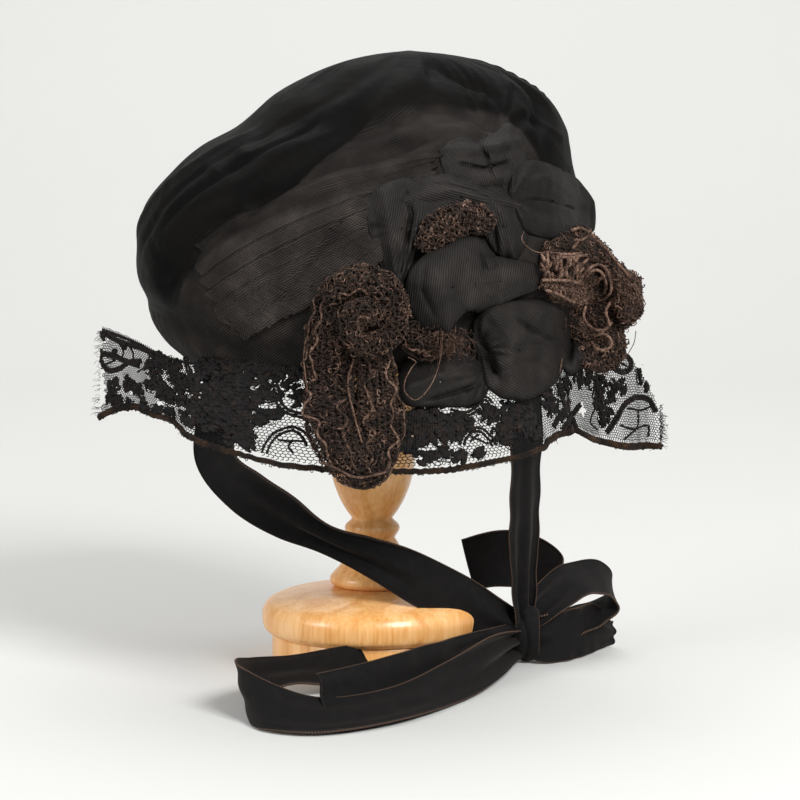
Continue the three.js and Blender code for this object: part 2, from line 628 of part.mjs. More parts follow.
// Profiles as shares of the radius and of the height of their own piece, the column's as shares of
// the height of its turned lower stretch.
const foot_low_rows = [
  { r: 0.965, z: 0.00 }, { r: 1.000, z: 0.12 }, { r: 1.000, z: 1.00 },
];
const foot_high_rows = [
  { r: 0.950, z: 0.00 }, { r: 0.985, z: 0.12 }, { r: 1.000, z: 0.36 }, { r: 0.985, z: 0.54 },
  { r: 0.930, z: 0.70 }, { r: 0.800, z: 0.82 }, { r: 0.600, z: 0.92 }, { r: 0.300, z: 1.00 },
];
const column_low_rows = [
  { r: 0.920, z: 0.000 }, { r: 0.990, z: 0.016 }, { r: 1.000, z: 0.038 }, { r: 0.950, z: 0.060 },
  { r: 0.760, z: 0.105 }, { r: 0.610, z: 0.155 }, { r: 0.545, z: 0.176 },
  { r: 0.630, z: 0.186 }, { r: 0.650, z: 0.200 }, { r: 0.630, z: 0.216 }, { r: 0.550, z: 0.246 },
  { r: 0.550, z: 0.258 }, { r: 0.630, z: 0.286 }, { r: 0.650, z: 0.302 }, { r: 0.620, z: 0.322 },
  { r: 0.500, z: 0.348 }, { r: 0.500, z: 0.362 }, { r: 0.620, z: 0.400 }, { r: 0.780, z: 0.465 },
  { r: 0.920, z: 0.550 }, { r: 1.000, z: 0.640 }, { r: 1.040, z: 0.800 }, { r: 1.060, z: 1.000 },
];
const head_rows = [
  { r: 1.000, z: 0.10 }, { r: 1.000, z: 0.22 }, { r: 0.955, z: 0.50 }, { r: 0.840, z: 0.74 },
  { r: 0.640, z: 0.90 }, { r: 0.360, z: 0.98 }, { r: 0.000, z: 1.00 },
];

function turned(rows, radius, height, segments) {
  const profile = rows.map((row) => new THREE.Vector2(row.r * radius, row.z * height));
  const first = profile[0];
  const last = profile[profile.length - 1];
  if (first.x > 0) profile.unshift(new THREE.Vector2(0, first.y));
  if (last.x > 0) profile.push(new THREE.Vector2(0, last.y));
  const geometry = new THREE.LatheGeometry(profile, segments);
  geometry.rotateX(Math.PI / 2);
  return geometry;
}

const foot_segments = 28;
const column_segments = 20;
const column_top = 0.9;        // share of its radius under the head
const head_underside = 0.5;    // share of the head's radius that the column meets

function standFoot() {
  const low = turned(foot_low_rows, foot_radius - foot_step, foot_low_height, foot_segments);
  const high = turned(foot_high_rows, foot_radius, foot_high_height, foot_segments);
  high.translate(0, 0, foot_low_height);
  return solidOf(low).add(solidOf(high));
}

const column_base = foot_low_height + foot_high_height + joint_gap;

// The head is lifted until it almost meets the crown's inside, which then rests on it.
function standHead() {
  const dome = turned([{ r: head_underside, z: 0 }, ...head_rows], head_radius, head_height, column_segments);
  const head = solidOf(dome);
  const hollow = crownDome(-crown_wall - joint_gap);
  let low = rim_height;
  let high = rim_height + crown_height - head_height;
  const halvings = 12;
  for (let n = 0; n < halvings; n += 1) {
    const middle = (low + high) / 2;
    const clear = head.translate([0, 0, middle]).subtract(hollow).isEmpty();
    if (clear) low = middle;
    else high = middle;
  }
  return { base: low, solid: head.translate([0, 0, low]) };
}
const head = standHead();

function standColumn() {
  const length = head.base - joint_gap - column_base;
  const rows = column_low_rows.map((row) => ({ r: row.r, z: row.z * column_turning / length }));
  const shaft = turned([...rows, { r: column_top, z: 1 }], column_radius, length, column_segments);
  shaft.translate(0, 0, column_base);
  return solidOf(shaft);
}
const foot_solid = standFoot();
const column_solid = standColumn();
ribbon_neighbours.push(foot_solid, column_solid);

// Velvet ribbon

// Knot: a wrapped barrel round the gathered ribbons, its axis left to right.
const knot_sections = [
  { along: -0.50, swell: 0.80 }, { along: -0.34, swell: 0.96 }, { along: 0.00, swell: 1.00 },
  { along: 0.34, swell: 0.96 }, { along: 0.50, swell: 0.80 },
];
const knot_sides = 16;
const knot_middle = new THREE.Vector3(knot_side, knot_back, floor_gap + knot_height / 2);

function knotSolid(swell) {
  const points = [];
  knot_sections.forEach((row) => {
    for (let n = 0; n < knot_sides; n += 1) {
      const angle = full_turn * n / knot_sides;
      points.push(knot_middle.clone().add(new THREE.Vector3(
        row.along * (knot_length + 2 * swell),
        (knot_depth / 2 * row.swell + swell) * Math.cos(angle),
        (knot_height / 2 * row.swell + swell) * Math.sin(angle),
      )));
    }
  });
  const last = (knot_sections.length - 1) * knot_sides;
  const faces = [];
  for (let k = 0; k < knot_sections.length - 1; k += 1) {
    for (let n = 0; n < knot_sides; n += 1) {
      const a = k * knot_sides + n;
      const b = k * knot_sides + (n + 1) % knot_sides;
      faces.push([a, b, b + knot_sides], [a, b + knot_sides, a + knot_sides]);
    }
  }
  for (let n = 1; n < knot_sides - 1; n += 1) {
    faces.push([0, n + 1, n], [last, last + n, last + n + 1]);
  }
  return solidOf(geometryOf(points, faces));
}
const knot_solid = knotSolid(0);
ribbon_neighbours.push(knotSolid(cloth_gap));

// Where the ties are sewn inside the rim, as a place on the crown's lower edge.
const tie_seat_rise = 0.03;
const tie_left_turn = -0.125;
const tie_right_turn = 0.18;
const tie_inset = -crown_wall - cloth_gap - 2 * ribbon_wall;
const tie_left_seat = crownPoint(tie_left_turn, tie_seat_rise, tie_inset);
const tie_right_seat = crownPoint(tie_right_turn, tie_seat_rise, tie_inset);

// A ribbon follows its rows from a start point to an end point. x, y and z are shares of the way
// between them, or of the bow's reach from the knot, ax, ay and az point across the ribbon, and
// width is a share of the ribbon's width.
const tie_left_rows = spread([
  { x: 0.000, y: 0.000, z: 0.000, ax: 0.73, ay: -0.68, az: 0.00, width: 1.00 },
  { x: -0.010, y: 0.040, z: 0.160, ax: 0.75, ay: -0.66, az: 0.00, width: 1.00 },
  { x: -0.030, y: -0.020, z: 0.340, ax: 0.74, ay: -0.60, az: 0.30, width: 1.00 },
  { x: 0.070, y: -0.060, z: 0.450, ax: 0.64, ay: -0.40, az: 0.66, width: 0.98 },
  { x: 0.200, y: 0.030, z: 0.540, ax: 0.44, ay: -0.35, az: 0.83, width: 0.88 },
  { x: 0.330, y: 0.170, z: 0.620, ax: 0.25, ay: -0.40, az: 0.88, width: 0.62 },
  { x: 0.470, y: 0.320, z: 0.690, ax: 0.12, ay: -0.10, az: 0.98, width: 0.75 },
  { x: 0.620, y: 0.400, z: 0.765, ax: 0.10, ay: 0.10, az: 0.99, width: 0.98 },
  { x: 0.790, y: 0.600, z: 0.865, ax: 0.12, ay: 0.10, az: 0.98, width: 1.00 },
  { x: 0.920, y: 0.850, z: 0.955, ax: 0.15, ay: 0.05, az: 0.98, width: 0.86 },
  { x: 1.000, y: 1.000, z: 1.000, ax: 0.10, ay: 0.05, az: 0.99, width: 0.66 },
]);
const tie_right_rows = spread([
  { x: 0.00, y: 0.000, z: 0.000, ax: 0.43, ay: 0.90, az: 0.00, width: 1.00 },
  { x: 0.10, y: 0.060, z: 0.140, ax: 0.46, ay: 0.89, az: 0.00, width: 0.98 },
  { x: 0.60, y: 0.200, z: 0.320, ax: 0.52, ay: 0.85, az: 0.00, width: 0.95 },
  { x: 1.30, y: 0.400, z: 0.520, ax: 0.58, ay: 0.81, az: 0.00, width: 0.85 },
  { x: 2.20, y: 0.620, z: 0.680, ax: 0.58, ay: 0.81, az: 0.00, width: 0.56 },
  { x: 2.60, y: 0.820, z: 0.820, ax: 0.58, ay: 0.81, az: 0.00, width: 0.52 },
  { x: 1.60, y: 1.000, z: 1.000, ax: 0.58, ay: 0.81, az: 0.00, width: 0.55 },
]);
const bow_loop_left_rows = spread([
  { x: 0.000, y: 0.000, z: 0.000, ax: 0.00, ay: 0.05, az: 1.00, width: 0.62 },
  { x: -0.100, y: -0.170, z: -0.010, ax: 0.05, ay: 0.10, az: 1.00, width: 0.85 },
  { x: -0.250, y: -0.400, z: -0.012, ax: 0.05, ay: 0.10, az: 1.00, width: 0.98 },
  { x: -0.480, y: -0.620, z: -0.012, ax: 0.02, ay: 0.08, az: 1.00, width: 0.98 },
  { x: -0.760, y: -0.820, z: -0.012, ax: 0.00, ay: 0.04, az: 1.00, width: 0.98 },
  { x: -0.900, y: -0.930, z: -0.012, ax: 0.05, ay: 0.00, az: 1.00, width: 0.98 },
  { x: -0.925, y: -1.080, z: -0.012, ax: 0.10, ay: 0.00, az: 1.00, width: 0.98 },
  { x: -0.850, y: -1.200, z: -0.014, ax: 0.00, ay: 0.15, az: 0.99, width: 0.98 },
  { x: -0.660, y: -1.215, z: -0.018, ax: -0.15, ay: 0.35, az: 0.93, width: 0.98 },
  { x: -0.420, y: -1.020, z: -0.020, ax: -0.25, ay: 0.35, az: 0.90, width: 0.98 },
  { x: -0.230, y: -0.700, z: -0.018, ax: -0.25, ay: 0.20, az: 0.94, width: 0.98 },
  { x: -0.110, y: -0.360, z: -0.020, ax: -0.10, ay: 0.10, az: 0.99, width: 0.80 },
  { x: -0.020, y: -0.040, z: -0.030, ax: 0.00, ay: 0.05, az: 1.00, width: 0.50 },
]);
const bow_tail_left_rows = spread([
  { x: -0.030, y: -0.010, z: -0.010, ax: 0.00, ay: 0.05, az: 1.00, width: 0.50 },
  { x: -0.160, y: -0.280, z: -0.015, ax: -0.05, ay: 0.10, az: 0.99, width: 0.80 },
  { x: -0.330, y: -0.580, z: -0.018, ax: -0.10, ay: 0.15, az: 0.98, width: 0.96 },
  { x: -0.520, y: -0.850, z: -0.020, ax: -0.15, ay: 0.25, az: 0.95, width: 0.96 },
  { x: -0.680, y: -1.030, z: -0.020, ax: -0.15, ay: 0.30, az: 0.93, width: 0.96 },
]);
const bow_loop_right_rows = spread([
  { x: 0.000, y: 0.010, z: 0.030, ax: -0.10, ay: 0.60, az: 0.79, width: 0.55 },
  { x: 0.090, y: 0.060, z: 0.110, ax: -0.35, ay: 0.72, az: 0.60, width: 0.90 },
  { x: 0.190, y: 0.130, z: 0.165, ax: -0.30, ay: 0.80, az: 0.52, width: 1.00 },
  { x: 0.290, y: 0.200, z: 0.160, ax: -0.10, ay: 0.86, az: 0.50, width: 1.00 },
  { x: 0.335, y: 0.230, z: 0.105, ax: -0.05, ay: 0.90, az: 0.43, width: 1.00 },
  { x: 0.300, y: 0.210, z: 0.050, ax: 0.10, ay: 0.90, az: 0.43, width: 1.00 },
  { x: 0.210, y: 0.160, z: 0.020, ax: 0.10, ay: 0.86, az: 0.50, width: 0.95 },
  { x: 0.100, y: 0.080, z: -0.010, ax: 0.05, ay: 0.70, az: 0.70, width: 0.80 },
  { x: 0.000, y: 0.020, z: -0.010, ax: 0.00, ay: 0.50, az: 0.86, width: 0.50 },
]);
const bow_tail_right_rows = spread([
  { x: 0.000, y: 0.000, z: -0.020, ax: 0.00, ay: 0.20, az: 0.98, width: 0.60 },
  { x: 0.080, y: -0.010, z: -0.018, ax: 0.05, ay: 0.25, az: 0.97, width: 0.92 },
  { x: 0.170, y: 0.050, z: -0.014, ax: 0.05, ay: 0.25, az: 0.97, width: 0.98 },
  { x: 0.260, y: 0.160, z: -0.010, ax: 0.05, ay: 0.20, az: 0.98, width: 0.98 },
  { x: 0.345, y: 0.290, z: -0.010, ax: 0.10, ay: 0.15, az: 0.98, width: 0.94 },
]);
const bow_tail_frayed_rows = spread([
  { x: 0.010, y: 0.030, z: 0.020, ax: 0.10, ay: 0.30, az: 0.95, width: 0.55 },
  { x: 0.080, y: 0.170, z: 0.090, ax: 0.30, ay: 0.20, az: 0.93, width: 0.85 },
  { x: 0.110, y: 0.250, z: 0.150, ax: 0.45, ay: 0.20, az: 0.87, width: 1.00 },
  { x: 0.030, y: 0.290, z: 0.205, ax: 0.10, ay: 0.15, az: 0.98, width: 1.10 },
  { x: -0.080, y: 0.270, z: 0.220, ax: -0.05, ay: 0.10, az: 0.99, width: 1.10 },
  { x: -0.190, y: 0.230, z: 0.205, ax: -0.25, ay: 0.10, az: 0.96, width: 1.00 },
]);

function ribbonSheet(rows, place, steps) {
  const read = (column, along) => readColumn(rows, 'along', column, along);
  const grid = Array.from({ length: steps + 1 }, (_, i) => {
    const along = i / steps;
    const middle = place(read('x', along), read('y', along), read('z', along));
    const across = new THREE.Vector3(read('ax', along), read('ay', along), read('az', along)).normalize();
    const half = read('width', along) * ribbon_width / 2;
    return [-1, 0, 1].map((side) => {
      const point = middle.clone().addScaledVector(across, side * half);
      point.z = Math.max(point.z, floor_gap);
      return point;
    });
  });
  return { grid, wall: ribbon_wall };
}

function ribbon(rows, place, steps) {
  return seatSheet(ribbon_neighbours, ribbonSheet(rows, place, steps));
}

const between = (start, end) => (x, y, z) => new THREE.Vector3(
  start.x + (end.x - start.x) * x,
  start.y + (end.y - start.y) * y,
  start.z + (end.z - start.z) * z,
);
const fromKnot = (x, y, z) => knot_middle.clone().add(new THREE.Vector3(x, y, z).multiplyScalar(bow_reach));

const ribbon_solids = {
  tie_left: ribbon(tie_left_rows, between(tie_left_seat, knot_middle), 26),
  tie_right: ribbon(tie_right_rows, between(tie_right_seat, knot_middle), 14),
  bow_loop_left: ribbon(bow_loop_left_rows, fromKnot, 32),
  bow_tail_left: ribbon(bow_tail_left_rows, fromKnot, 12),
  bow_loop_right: ribbon(bow_loop_right_rows, fromKnot, 20),
  bow_tail_right: ribbon(bow_tail_right_rows, fromKnot, 12),
  bow_tail_frayed: ribbon(bow_tail_frayed_rows, fromKnot, 12),
};

// Finishes and scene graph

const finishes = {
  silk: { color: 0x1d1b1a, roughness: 0.45, metalness: 0 },
  ribbed_silk: { color: 0x2b2826, roughness: 0.6, metalness: 0 },
  lace: { color: 0x14120f, roughness: 0.8, metalness: 0 },
  binding: { color: 0x2a1f19, roughness: 0.85, metalness: 0 },
  crochet: { color: 0x2c201a, roughness: 0.9, metalness: 0 },
  velvet: { color: 0x0d0c0c, roughness: 0.95, metalness: 0 },
  wood: { color: 0xe3aa6d, roughness: 0.3, metalness: 0 },
};

const bonnet = new THREE.Group();

function addPiece(name, solid, finish) {
  const mesh = new THREE.Mesh(geometryFrom(solid), new THREE.MeshStandardMaterial(finishes[finish]));
  mesh.name = name;
  bonnet.add(mesh);
}

addPiece('stand_foot', foot_solid, 'wood');
addPiece('stand_column', column_solid, 'wood');
addPiece('stand_head', head.solid, 'wood');
addPiece('crown', crown_solid, 'silk');
addPiece('drape_panel', drape_solid, 'ribbed_silk');
addPiece('lace_frill', frill_solid, 'lace');
addPiece('frill_binding', binding_solid, 'binding');
Object.entries(puff_solids).forEach(([name, solid]) => {
  addPiece(name, solid, name.startsWith('crochet') ? 'crochet' : 'silk');
});
addPiece('crochet_loop_long', crochet_loop_solid, 'crochet');
addPiece('crochet_rosette', rosette_solid, 'crochet');
addPiece('bow_knot', knot_solid, 'velvet');
Object.entries(ribbon_solids).forEach(([name, solid]) => addPiece(name, solid, 'velvet'));

export default bonnet;
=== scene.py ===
# %% [markdown]
# # A silk bonnet on a turned wooden stand
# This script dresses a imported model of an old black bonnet. The model gives the true sizes and places,
# and each cell below makes one piece finer: silk, net, crochet, velvet and wood.
# The frame comes first. Its pieces stay where they are, and everything made here is measured in metres.

# %% Load the frame
import math

import bpy
import numpy as np
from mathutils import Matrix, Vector
from mathutils.bvhtree import BVHTree
from mathutils.kdtree import KDTree


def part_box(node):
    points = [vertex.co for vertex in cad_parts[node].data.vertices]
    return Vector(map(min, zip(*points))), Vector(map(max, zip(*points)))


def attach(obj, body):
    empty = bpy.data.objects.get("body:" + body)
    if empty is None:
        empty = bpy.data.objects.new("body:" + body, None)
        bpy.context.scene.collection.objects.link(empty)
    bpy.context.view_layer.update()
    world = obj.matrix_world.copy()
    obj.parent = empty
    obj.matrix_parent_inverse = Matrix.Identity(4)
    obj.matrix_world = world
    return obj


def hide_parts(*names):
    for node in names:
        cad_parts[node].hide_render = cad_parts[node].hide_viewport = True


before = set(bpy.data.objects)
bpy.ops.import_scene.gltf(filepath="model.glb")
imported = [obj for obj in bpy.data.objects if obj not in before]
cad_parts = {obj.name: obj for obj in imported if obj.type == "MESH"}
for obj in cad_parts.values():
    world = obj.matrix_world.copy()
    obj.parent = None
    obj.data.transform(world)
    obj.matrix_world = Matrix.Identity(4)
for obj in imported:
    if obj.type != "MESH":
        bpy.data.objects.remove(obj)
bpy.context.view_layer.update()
mm = 0.001
full_turn = 2 * math.pi
print("pieces in the frame:", len(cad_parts))

# %% [markdown]
# ## Camera
# A long lens stands a metre and a half away, a little above the bonnet, and looks down slightly. A long
# lens keeps the proportions calm, as product photographs do. The same numbers also turn a place in the
# picture into a ray, which is how the loose folds of the trim are put where they belong.

# %% Camera
picture_width_px = 800
camera_focal_px = 2885
camera_sensor_mm = 36
camera_place = np.array((14.6, -1500, 305)) * mm
camera_down = math.radians(6.3)

camera_data = bpy.data.cameras.new("camera")
camera_data.sensor_width = camera_sensor_mm
camera_data.lens = camera_focal_px / picture_width_px * camera_sensor_mm
camera = bpy.data.objects.new("camera", camera_data)
camera.location = camera_place
camera.rotation_euler = (math.radians(90) - camera_down, 0, 0)
bpy.context.scene.collection.objects.link(camera)
bpy.context.scene.camera = camera


def picture_ray(px, py):
    """Direction from the camera through a place in the picture."""
    right = (px - picture_width_px / 2) / camera_focal_px
    up = (picture_width_px / 2 - py) / camera_focal_px
    c, s = math.cos(camera_down), math.sin(camera_down)
    return Vector((right, c + up * s, up * c - s)).normalized()


print("lens in mm:", round(camera_data.lens, 1))

# %% [markdown]
# ## Light and floor
# Black cloth shows only by its highlights, so the lights are large and soft: one broad panel above the
# wall, one at the front right that throws a faint shadow to the left, and a weak one at the left.
# The floor runs up into a wall in one curve, so that no horizon line shows.

# %% Light and floor
def soft_panel(name, place, aim, size, power):
    panel = bpy.data.lights.new(name, "AREA")
    panel.size = size
    panel.energy = power
    lamp = bpy.data.objects.new(name, panel)
    lamp.location = place
    lamp.rotation_euler = (Vector(aim) - Vector(place)).to_track_quat("-Z", "Y").to_euler()
    bpy.context.scene.collection.objects.link(lamp)


bonnet_middle = (0, 0, 0.2)
soft_panel("panel_above", (0.0, 1.5, 2.6), (0.0, 1.5, 0.0), 2.6, 53)
soft_panel("panel_front", (1.1, -1.7, 1.6), bonnet_middle, 0.9, 62)
soft_panel("panel_left", (-1.4, -0.9, 0.8), bonnet_middle, 0.6, 13)

room = bpy.data.worlds.new("room")
room.use_nodes = True
room.node_tree.nodes["Background"].inputs["Color"].default_value = (1, 1, 1, 1)
room.node_tree.nodes["Background"].inputs["Strength"].default_value = 0.33
bpy.context.scene.world = room
bpy.context.scene.view_settings.view_transform = "Standard"

# %% [markdown]
# ## Small helpers
# Colours are written as sRGB hex and turned to the linear values that a shader wants. One function adds
# a shader node with its settings and its links, so a whole finish reads from top to bottom.

# %% Colours and nodes
def linear(hex_colour):
    """sRGB hex to a linear RGBA colour."""
    parts = [int(hex_colour[i:i + 2], 16) / 255 for i in (1, 3, 5)]
    return tuple(p / 12.92 if p <= 0.04045 else ((p + 0.055) / 1.055) ** 2.4 for p in parts) + (1.0,)


def add_node(tree, kind, settings=None, **inputs):
    """Adds a node. An input is a value, or the output socket of another node."""
    node = tree.nodes.new(kind)
    for name, value in (settings or {}).items():
        setattr(node, name, value)
    for name, value in inputs.items():
        socket = node.inputs[int(name[1:])] if name[0] == "i" and name[1:].isdigit() else node.inputs[name]
        if isinstance(value, bpy.types.NodeSocket):
            tree.links.new(value, socket)
        else:
            socket.default_value = value
    return node


def colour_steps(tree, factor, stops):
    """A colour ramp: stops are pairs of a place from 0 to 1 and a hex colour."""
    ramp = add_node(tree, "ShaderNodeValToRGB", Fac=factor)
    elements = ramp.color_ramp.elements
    while len(elements) < len(stops):
        elements.new(0.5)
    for element, (place, hex_colour) in zip(elements, stops):
        element.position = place
        element.color = linear(hex_colour)
    return ramp.outputs["Color"]


def calc(tree, operation, first, second=0.0, third=0.0):
    """One step of arithmetic on numbers or sockets."""
    return add_node(tree, "ShaderNodeMath", {"operation": operation}, i0=first, i1=second,
                    i2=third).outputs[0]


def finish(name, colour, roughness, height=None, depth=0.0, **constants):
    """Starts a finish. colour, roughness and height are functions of the node tree, or plain values."""
    material = bpy.data.materials.new(name)
    material.use_nodes = True
    tree = material.node_tree
    shader = tree.nodes["Principled BSDF"]
    tree.links.new(colour(tree), shader.inputs["Base Color"])
    if callable(roughness):
        tree.links.new(roughness(tree), shader.inputs["Roughness"])
    else:
        shader.inputs["Roughness"].default_value = roughness
    if height:
        bump = add_node(tree, "ShaderNodeBump", Distance=depth, Height=height(tree))
        tree.links.new(bump.outputs["Normal"], shader.inputs["Normal"])
    for socket, value in constants.items():
        shader.inputs[socket.replace("_", " ")].default_value = value
    return material


# %% [markdown]
# The floor is matt paper, the plainest surface in a studio: no gloss, an even pale grey-white.

# %% Floor
def paper_shade(tree):
    grain = add_node(tree, "ShaderNodeTexNoise", Scale=3.0, Detail=2.0)
    return colour_steps(tree, grain.outputs[0], ((0.3, "#d0d0ce"), (0.7, "#d4d4d1")))


matt_paper = finish("matt_paper", paper_shade, 0.9, Specular_IOR_Level=0.2)
floor_half_width, floor_near, floor_bend, floor_far, floor_top = 4.0, -3.0, 1.4, 2.6, 2.5
bend_steps = 24
bend_angles = np.linspace(0, math.pi / 2, bend_steps)
bend_radius = floor_far - floor_bend
profile = [(floor_near, 0.0)]
profile += [(floor_bend + bend_radius * math.sin(a), bend_radius * (1 - math.cos(a))) for a in bend_angles]
profile += [(floor_far, floor_top)]
floor_points = [(x, y, z) for y, z in profile for x in (-floor_half_width, floor_half_width)]
floor_faces = [(2 * n, 2 * n + 1, 2 * n + 3, 2 * n + 2) for n in range(len(profile) - 1)]
floor_mesh = bpy.data.meshes.new("floor")
floor_mesh.from_pydata(floor_points, [], floor_faces)
floor_mesh.shade_smooth()
floor_mesh.materials.append(matt_paper)
floor = bpy.data.objects.new("floor", floor_mesh)
bpy.context.scene.collection.objects.link(floor)
print("floor runs back", floor_far, "m")

# %% [markdown]
# ## Meshes from number grids
# Cloth is a grid of points, and so is a thread: a row of small rings. Number arrays make thousands of
# them at once. A bundle collects such grids into one mesh. With each point it keeps where the point
# lies along and across the cloth, in metres, so that weave and ribs have their real size, and a tone
# from 0, the plain finish, to 1, the worn or changed one.

# %% Bundles of grids
class Bundle:
    def __init__(self):
        self.points, self.faces, self.cloth, self.tones = [], [], [], []
        self.count = 0

    def add(self, points, faces, cloth=None, tone=0.0, finish_index=0):
        points = points.reshape(-1, 3)
        self.faces.append((np.asarray(faces) + self.count, finish_index))
        self.points.append(points)
        self.cloth.append(np.zeros_like(points) if cloth is None else cloth.reshape(-1, 3))
        self.tones.append(np.broadcast_to(np.ravel(tone), len(points)))
        self.count += len(points)

    def build(self, name, finishes, nodes=()):
        """Makes the object, which rides on the body and stands for the given nodes of the frame."""
        mesh = bpy.data.meshes.new(name)
        points = np.concatenate(self.points)
        mesh.vertices.add(len(points))
        mesh.vertices.foreach_set("co", points.ravel())
        sides = np.concatenate([np.full(len(f), f.shape[1]) for f, _ in self.faces])
        corners = np.concatenate([f.ravel() for f, _ in self.faces])
        mesh.loops.add(len(corners))
        mesh.loops.foreach_set("vertex_index", corners)
        mesh.polygons.add(len(sides))
        mesh.polygons.foreach_set("loop_start", np.cumsum(sides) - sides)
        mesh.polygons.foreach_set("material_index",
                                  np.concatenate([np.full(len(f), i) for f, i in self.faces]))
        mesh.update(calc_edges=True)
        mesh.shade_smooth()
        cloth = mesh.attributes.new("cloth", "FLOAT_VECTOR", "POINT")
        cloth.data.foreach_set("vector", np.concatenate(self.cloth).ravel())
        tone = mesh.attributes.new("tone", "FLOAT", "POINT")
        tone.data.foreach_set("value", np.concatenate(self.tones))
        for material in finishes:
            mesh.materials.append(material)
        piece = bpy.data.objects.new(name, mesh)
        bpy.context.scene.collection.objects.link(piece)
        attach(piece, "root")
        if nodes:
            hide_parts(*nodes)
        triangles = int((sides - 2).sum())
        totals.append(triangles)
        print(f"{name}: {triangles} triangles")
        return piece


totals = []


def unit(vectors):
    return vectors / np.maximum(np.linalg.norm(vectors, axis=-1, keepdims=True), 1e-12)


def run_of(points):
    """How far each point of a path lies from its first one, measured along it."""
    return np.insert(np.cumsum(np.linalg.norm(np.diff(points, axis=0), axis=1)), 0, 0)


def grid_faces(rows, columns, ring_rows=False, ring_columns=False):
    """Four-sided faces of a grid that may close on itself either way."""
    i = np.arange(rows if ring_rows else rows - 1)
    j = np.arange(columns if ring_columns else columns - 1)
    i, j = np.meshgrid(i, j, indexing="ij")
    near, far, after = i * columns, (i + 1) % rows * columns, (j + 1) % columns
    return np.stack([near + j, far + j, far + after, near + after], -1).reshape(-1, 4)


def grid_normals(grid, ring=False):
    if ring:
        along = np.roll(grid, -1, 0) - np.roll(grid, 1, 0)
    else:
        along = np.gradient(grid, axis=0)
    return unit(np.cross(along, np.gradient(grid, axis=1)))


def cloth_lengths(grid):
    """How far each point lies along and across the cloth, from its middle."""
    run = lambda axis: np.insert(np.cumsum(np.linalg.norm(np.diff(grid, axis=axis),
                                                          axis=-1).mean(1 - axis)), 0, 0)
    along, across = run(0), run(1)
    cloth = np.zeros_like(grid)
    cloth[..., 0] = (along - along[-1] / 2)[:, None]
    cloth[..., 1] = (across - across[-1] / 2)[None, :]
    return cloth


# %% [markdown]
# A sheet of cloth is two walls a thread's thickness apart, joined round the edge. Even thin silk needs
# that: a single wall has no edge to catch the light, and it isn't a solid thing.

# %% Two-walled cloth
def add_cloth(bundle, grid, thickness, tone=0.0, ring=False, finish_index=0, cloth=None):
    """Adds a grid as cloth, its outer wall on the side that the grid's normals point to."""
    rows, columns = grid.shape[:2]
    normals = grid_normals(grid, ring)
    half = np.broadcast_to(np.asarray(thickness, float), (rows, columns))[..., None] / 2
    points = np.concatenate([(grid + normals * half).reshape(-1, 3),
                             (grid - normals * half).reshape(-1, 3)])
    count = rows * columns
    outer = grid_faces(rows, columns, ring_rows=ring)
    inner = outer[:, ::-1] + count
    index = np.arange(count).reshape(rows, columns)
    if ring:
        edges = [np.append(index[:, 0], index[0, 0])[::-1], np.append(index[:, -1], index[0, -1])]
    else:
        edges = [np.concatenate([index[0, ::-1], index[1:, 0], index[-1, 1:], index[-2::-1, -1]])]
    rims = [np.stack([e[:-1], e[:-1] + count, e[1:] + count, e[1:]], -1)[:, ::-1] for e in edges]
    lengths = cloth_lengths(grid) if cloth is None else cloth
    both = np.concatenate([lengths.reshape(-1, 3)] * 2)
    tones = np.concatenate([np.broadcast_to(tone, (rows, columns)).ravel()] * 2)
    bundle.add(points, np.concatenate([outer, inner] + rims), both, tones, finish_index)


# %% [markdown]
# A thread is a tube round a path. The rings need a side that never turns suddenly, so each path brings
# an "up" direction, such as the normal of the cloth that it lies on.

# %% Threads
def add_threads(bundle, paths, ups, radius, sides=4, tone=0.0, finish_index=0, closed=False):
    """Adds tubes: paths is an array of threads, steps and coordinates, ups is alike or one direction."""
    count, steps = paths.shape[:2]
    if closed:
        along = unit(np.roll(paths, -1, 1) - np.roll(paths, 1, 1))
    elif steps > 2:
        along = unit(np.gradient(paths, axis=1))
    else:
        along = unit(paths[:, 1:] - paths[:, :1]).repeat(2, 1)
    ups = np.broadcast_to(np.asarray(ups, float), paths.shape)
    side = unit(np.cross(along, ups))
    up = np.cross(side, along)
    angles = np.arange(sides) * full_turn / sides
    reach = np.broadcast_to(np.asarray(radius, float), (count, steps))[..., None, None]
    ring = side[:, :, None] * np.cos(angles)[:, None] + up[:, :, None] * np.sin(angles)[:, None]
    points = paths[:, :, None] + reach * ring
    faces = grid_faces(steps, sides, ring_rows=closed, ring_columns=True)
    starts = np.arange(count)[:, None, None] * steps * sides
    run = np.linalg.norm(np.diff(paths, axis=1), axis=-1).cumsum(1)
    cloth = np.zeros(points.shape)
    cloth[:, 1:, :, 0] = run[:, :, None]
    cloth[..., 1] = angles / full_turn * 0.01
    tones = np.broadcast_to(np.asarray(tone, float), (count, steps))[..., None].repeat(sides, 2)
    bundle.add(points, (faces[None] + starts).reshape(-1, 4), cloth, tones, finish_index)
    if not closed:
        cap = np.arange(sides)
        first = (starts[:, 0] + cap[::-1]).reshape(-1, sides)
        last = (starts[:, 0] + (steps - 1) * sides + cap).reshape(-1, sides)
        bundle.faces.append((np.concatenate([first, last]) + bundle.count - len(points.reshape(-1, 3)),
                             finish_index))


def resample(points, spacing):
    """A smooth path through a few points, with steps of about one length."""
    points = np.asarray(points, float)
    keys = run_of(points)
    rows = [dict(zip(("key", "x", "y", "z"), (key, *point))) for key, point in zip(keys, points)]
    steps = max(int(keys[-1] / spacing), 2)
    at = np.linspace(0, keys[-1], steps + 1)
    return np.stack([read_rows(rows, "key", column, at) for column in ("x", "y", "z")], -1)


# %% [markdown]
# Tables give a form at a few places only. Between their rows a smooth curve is read, one that passes
# through each row with the slope of its neighbours.

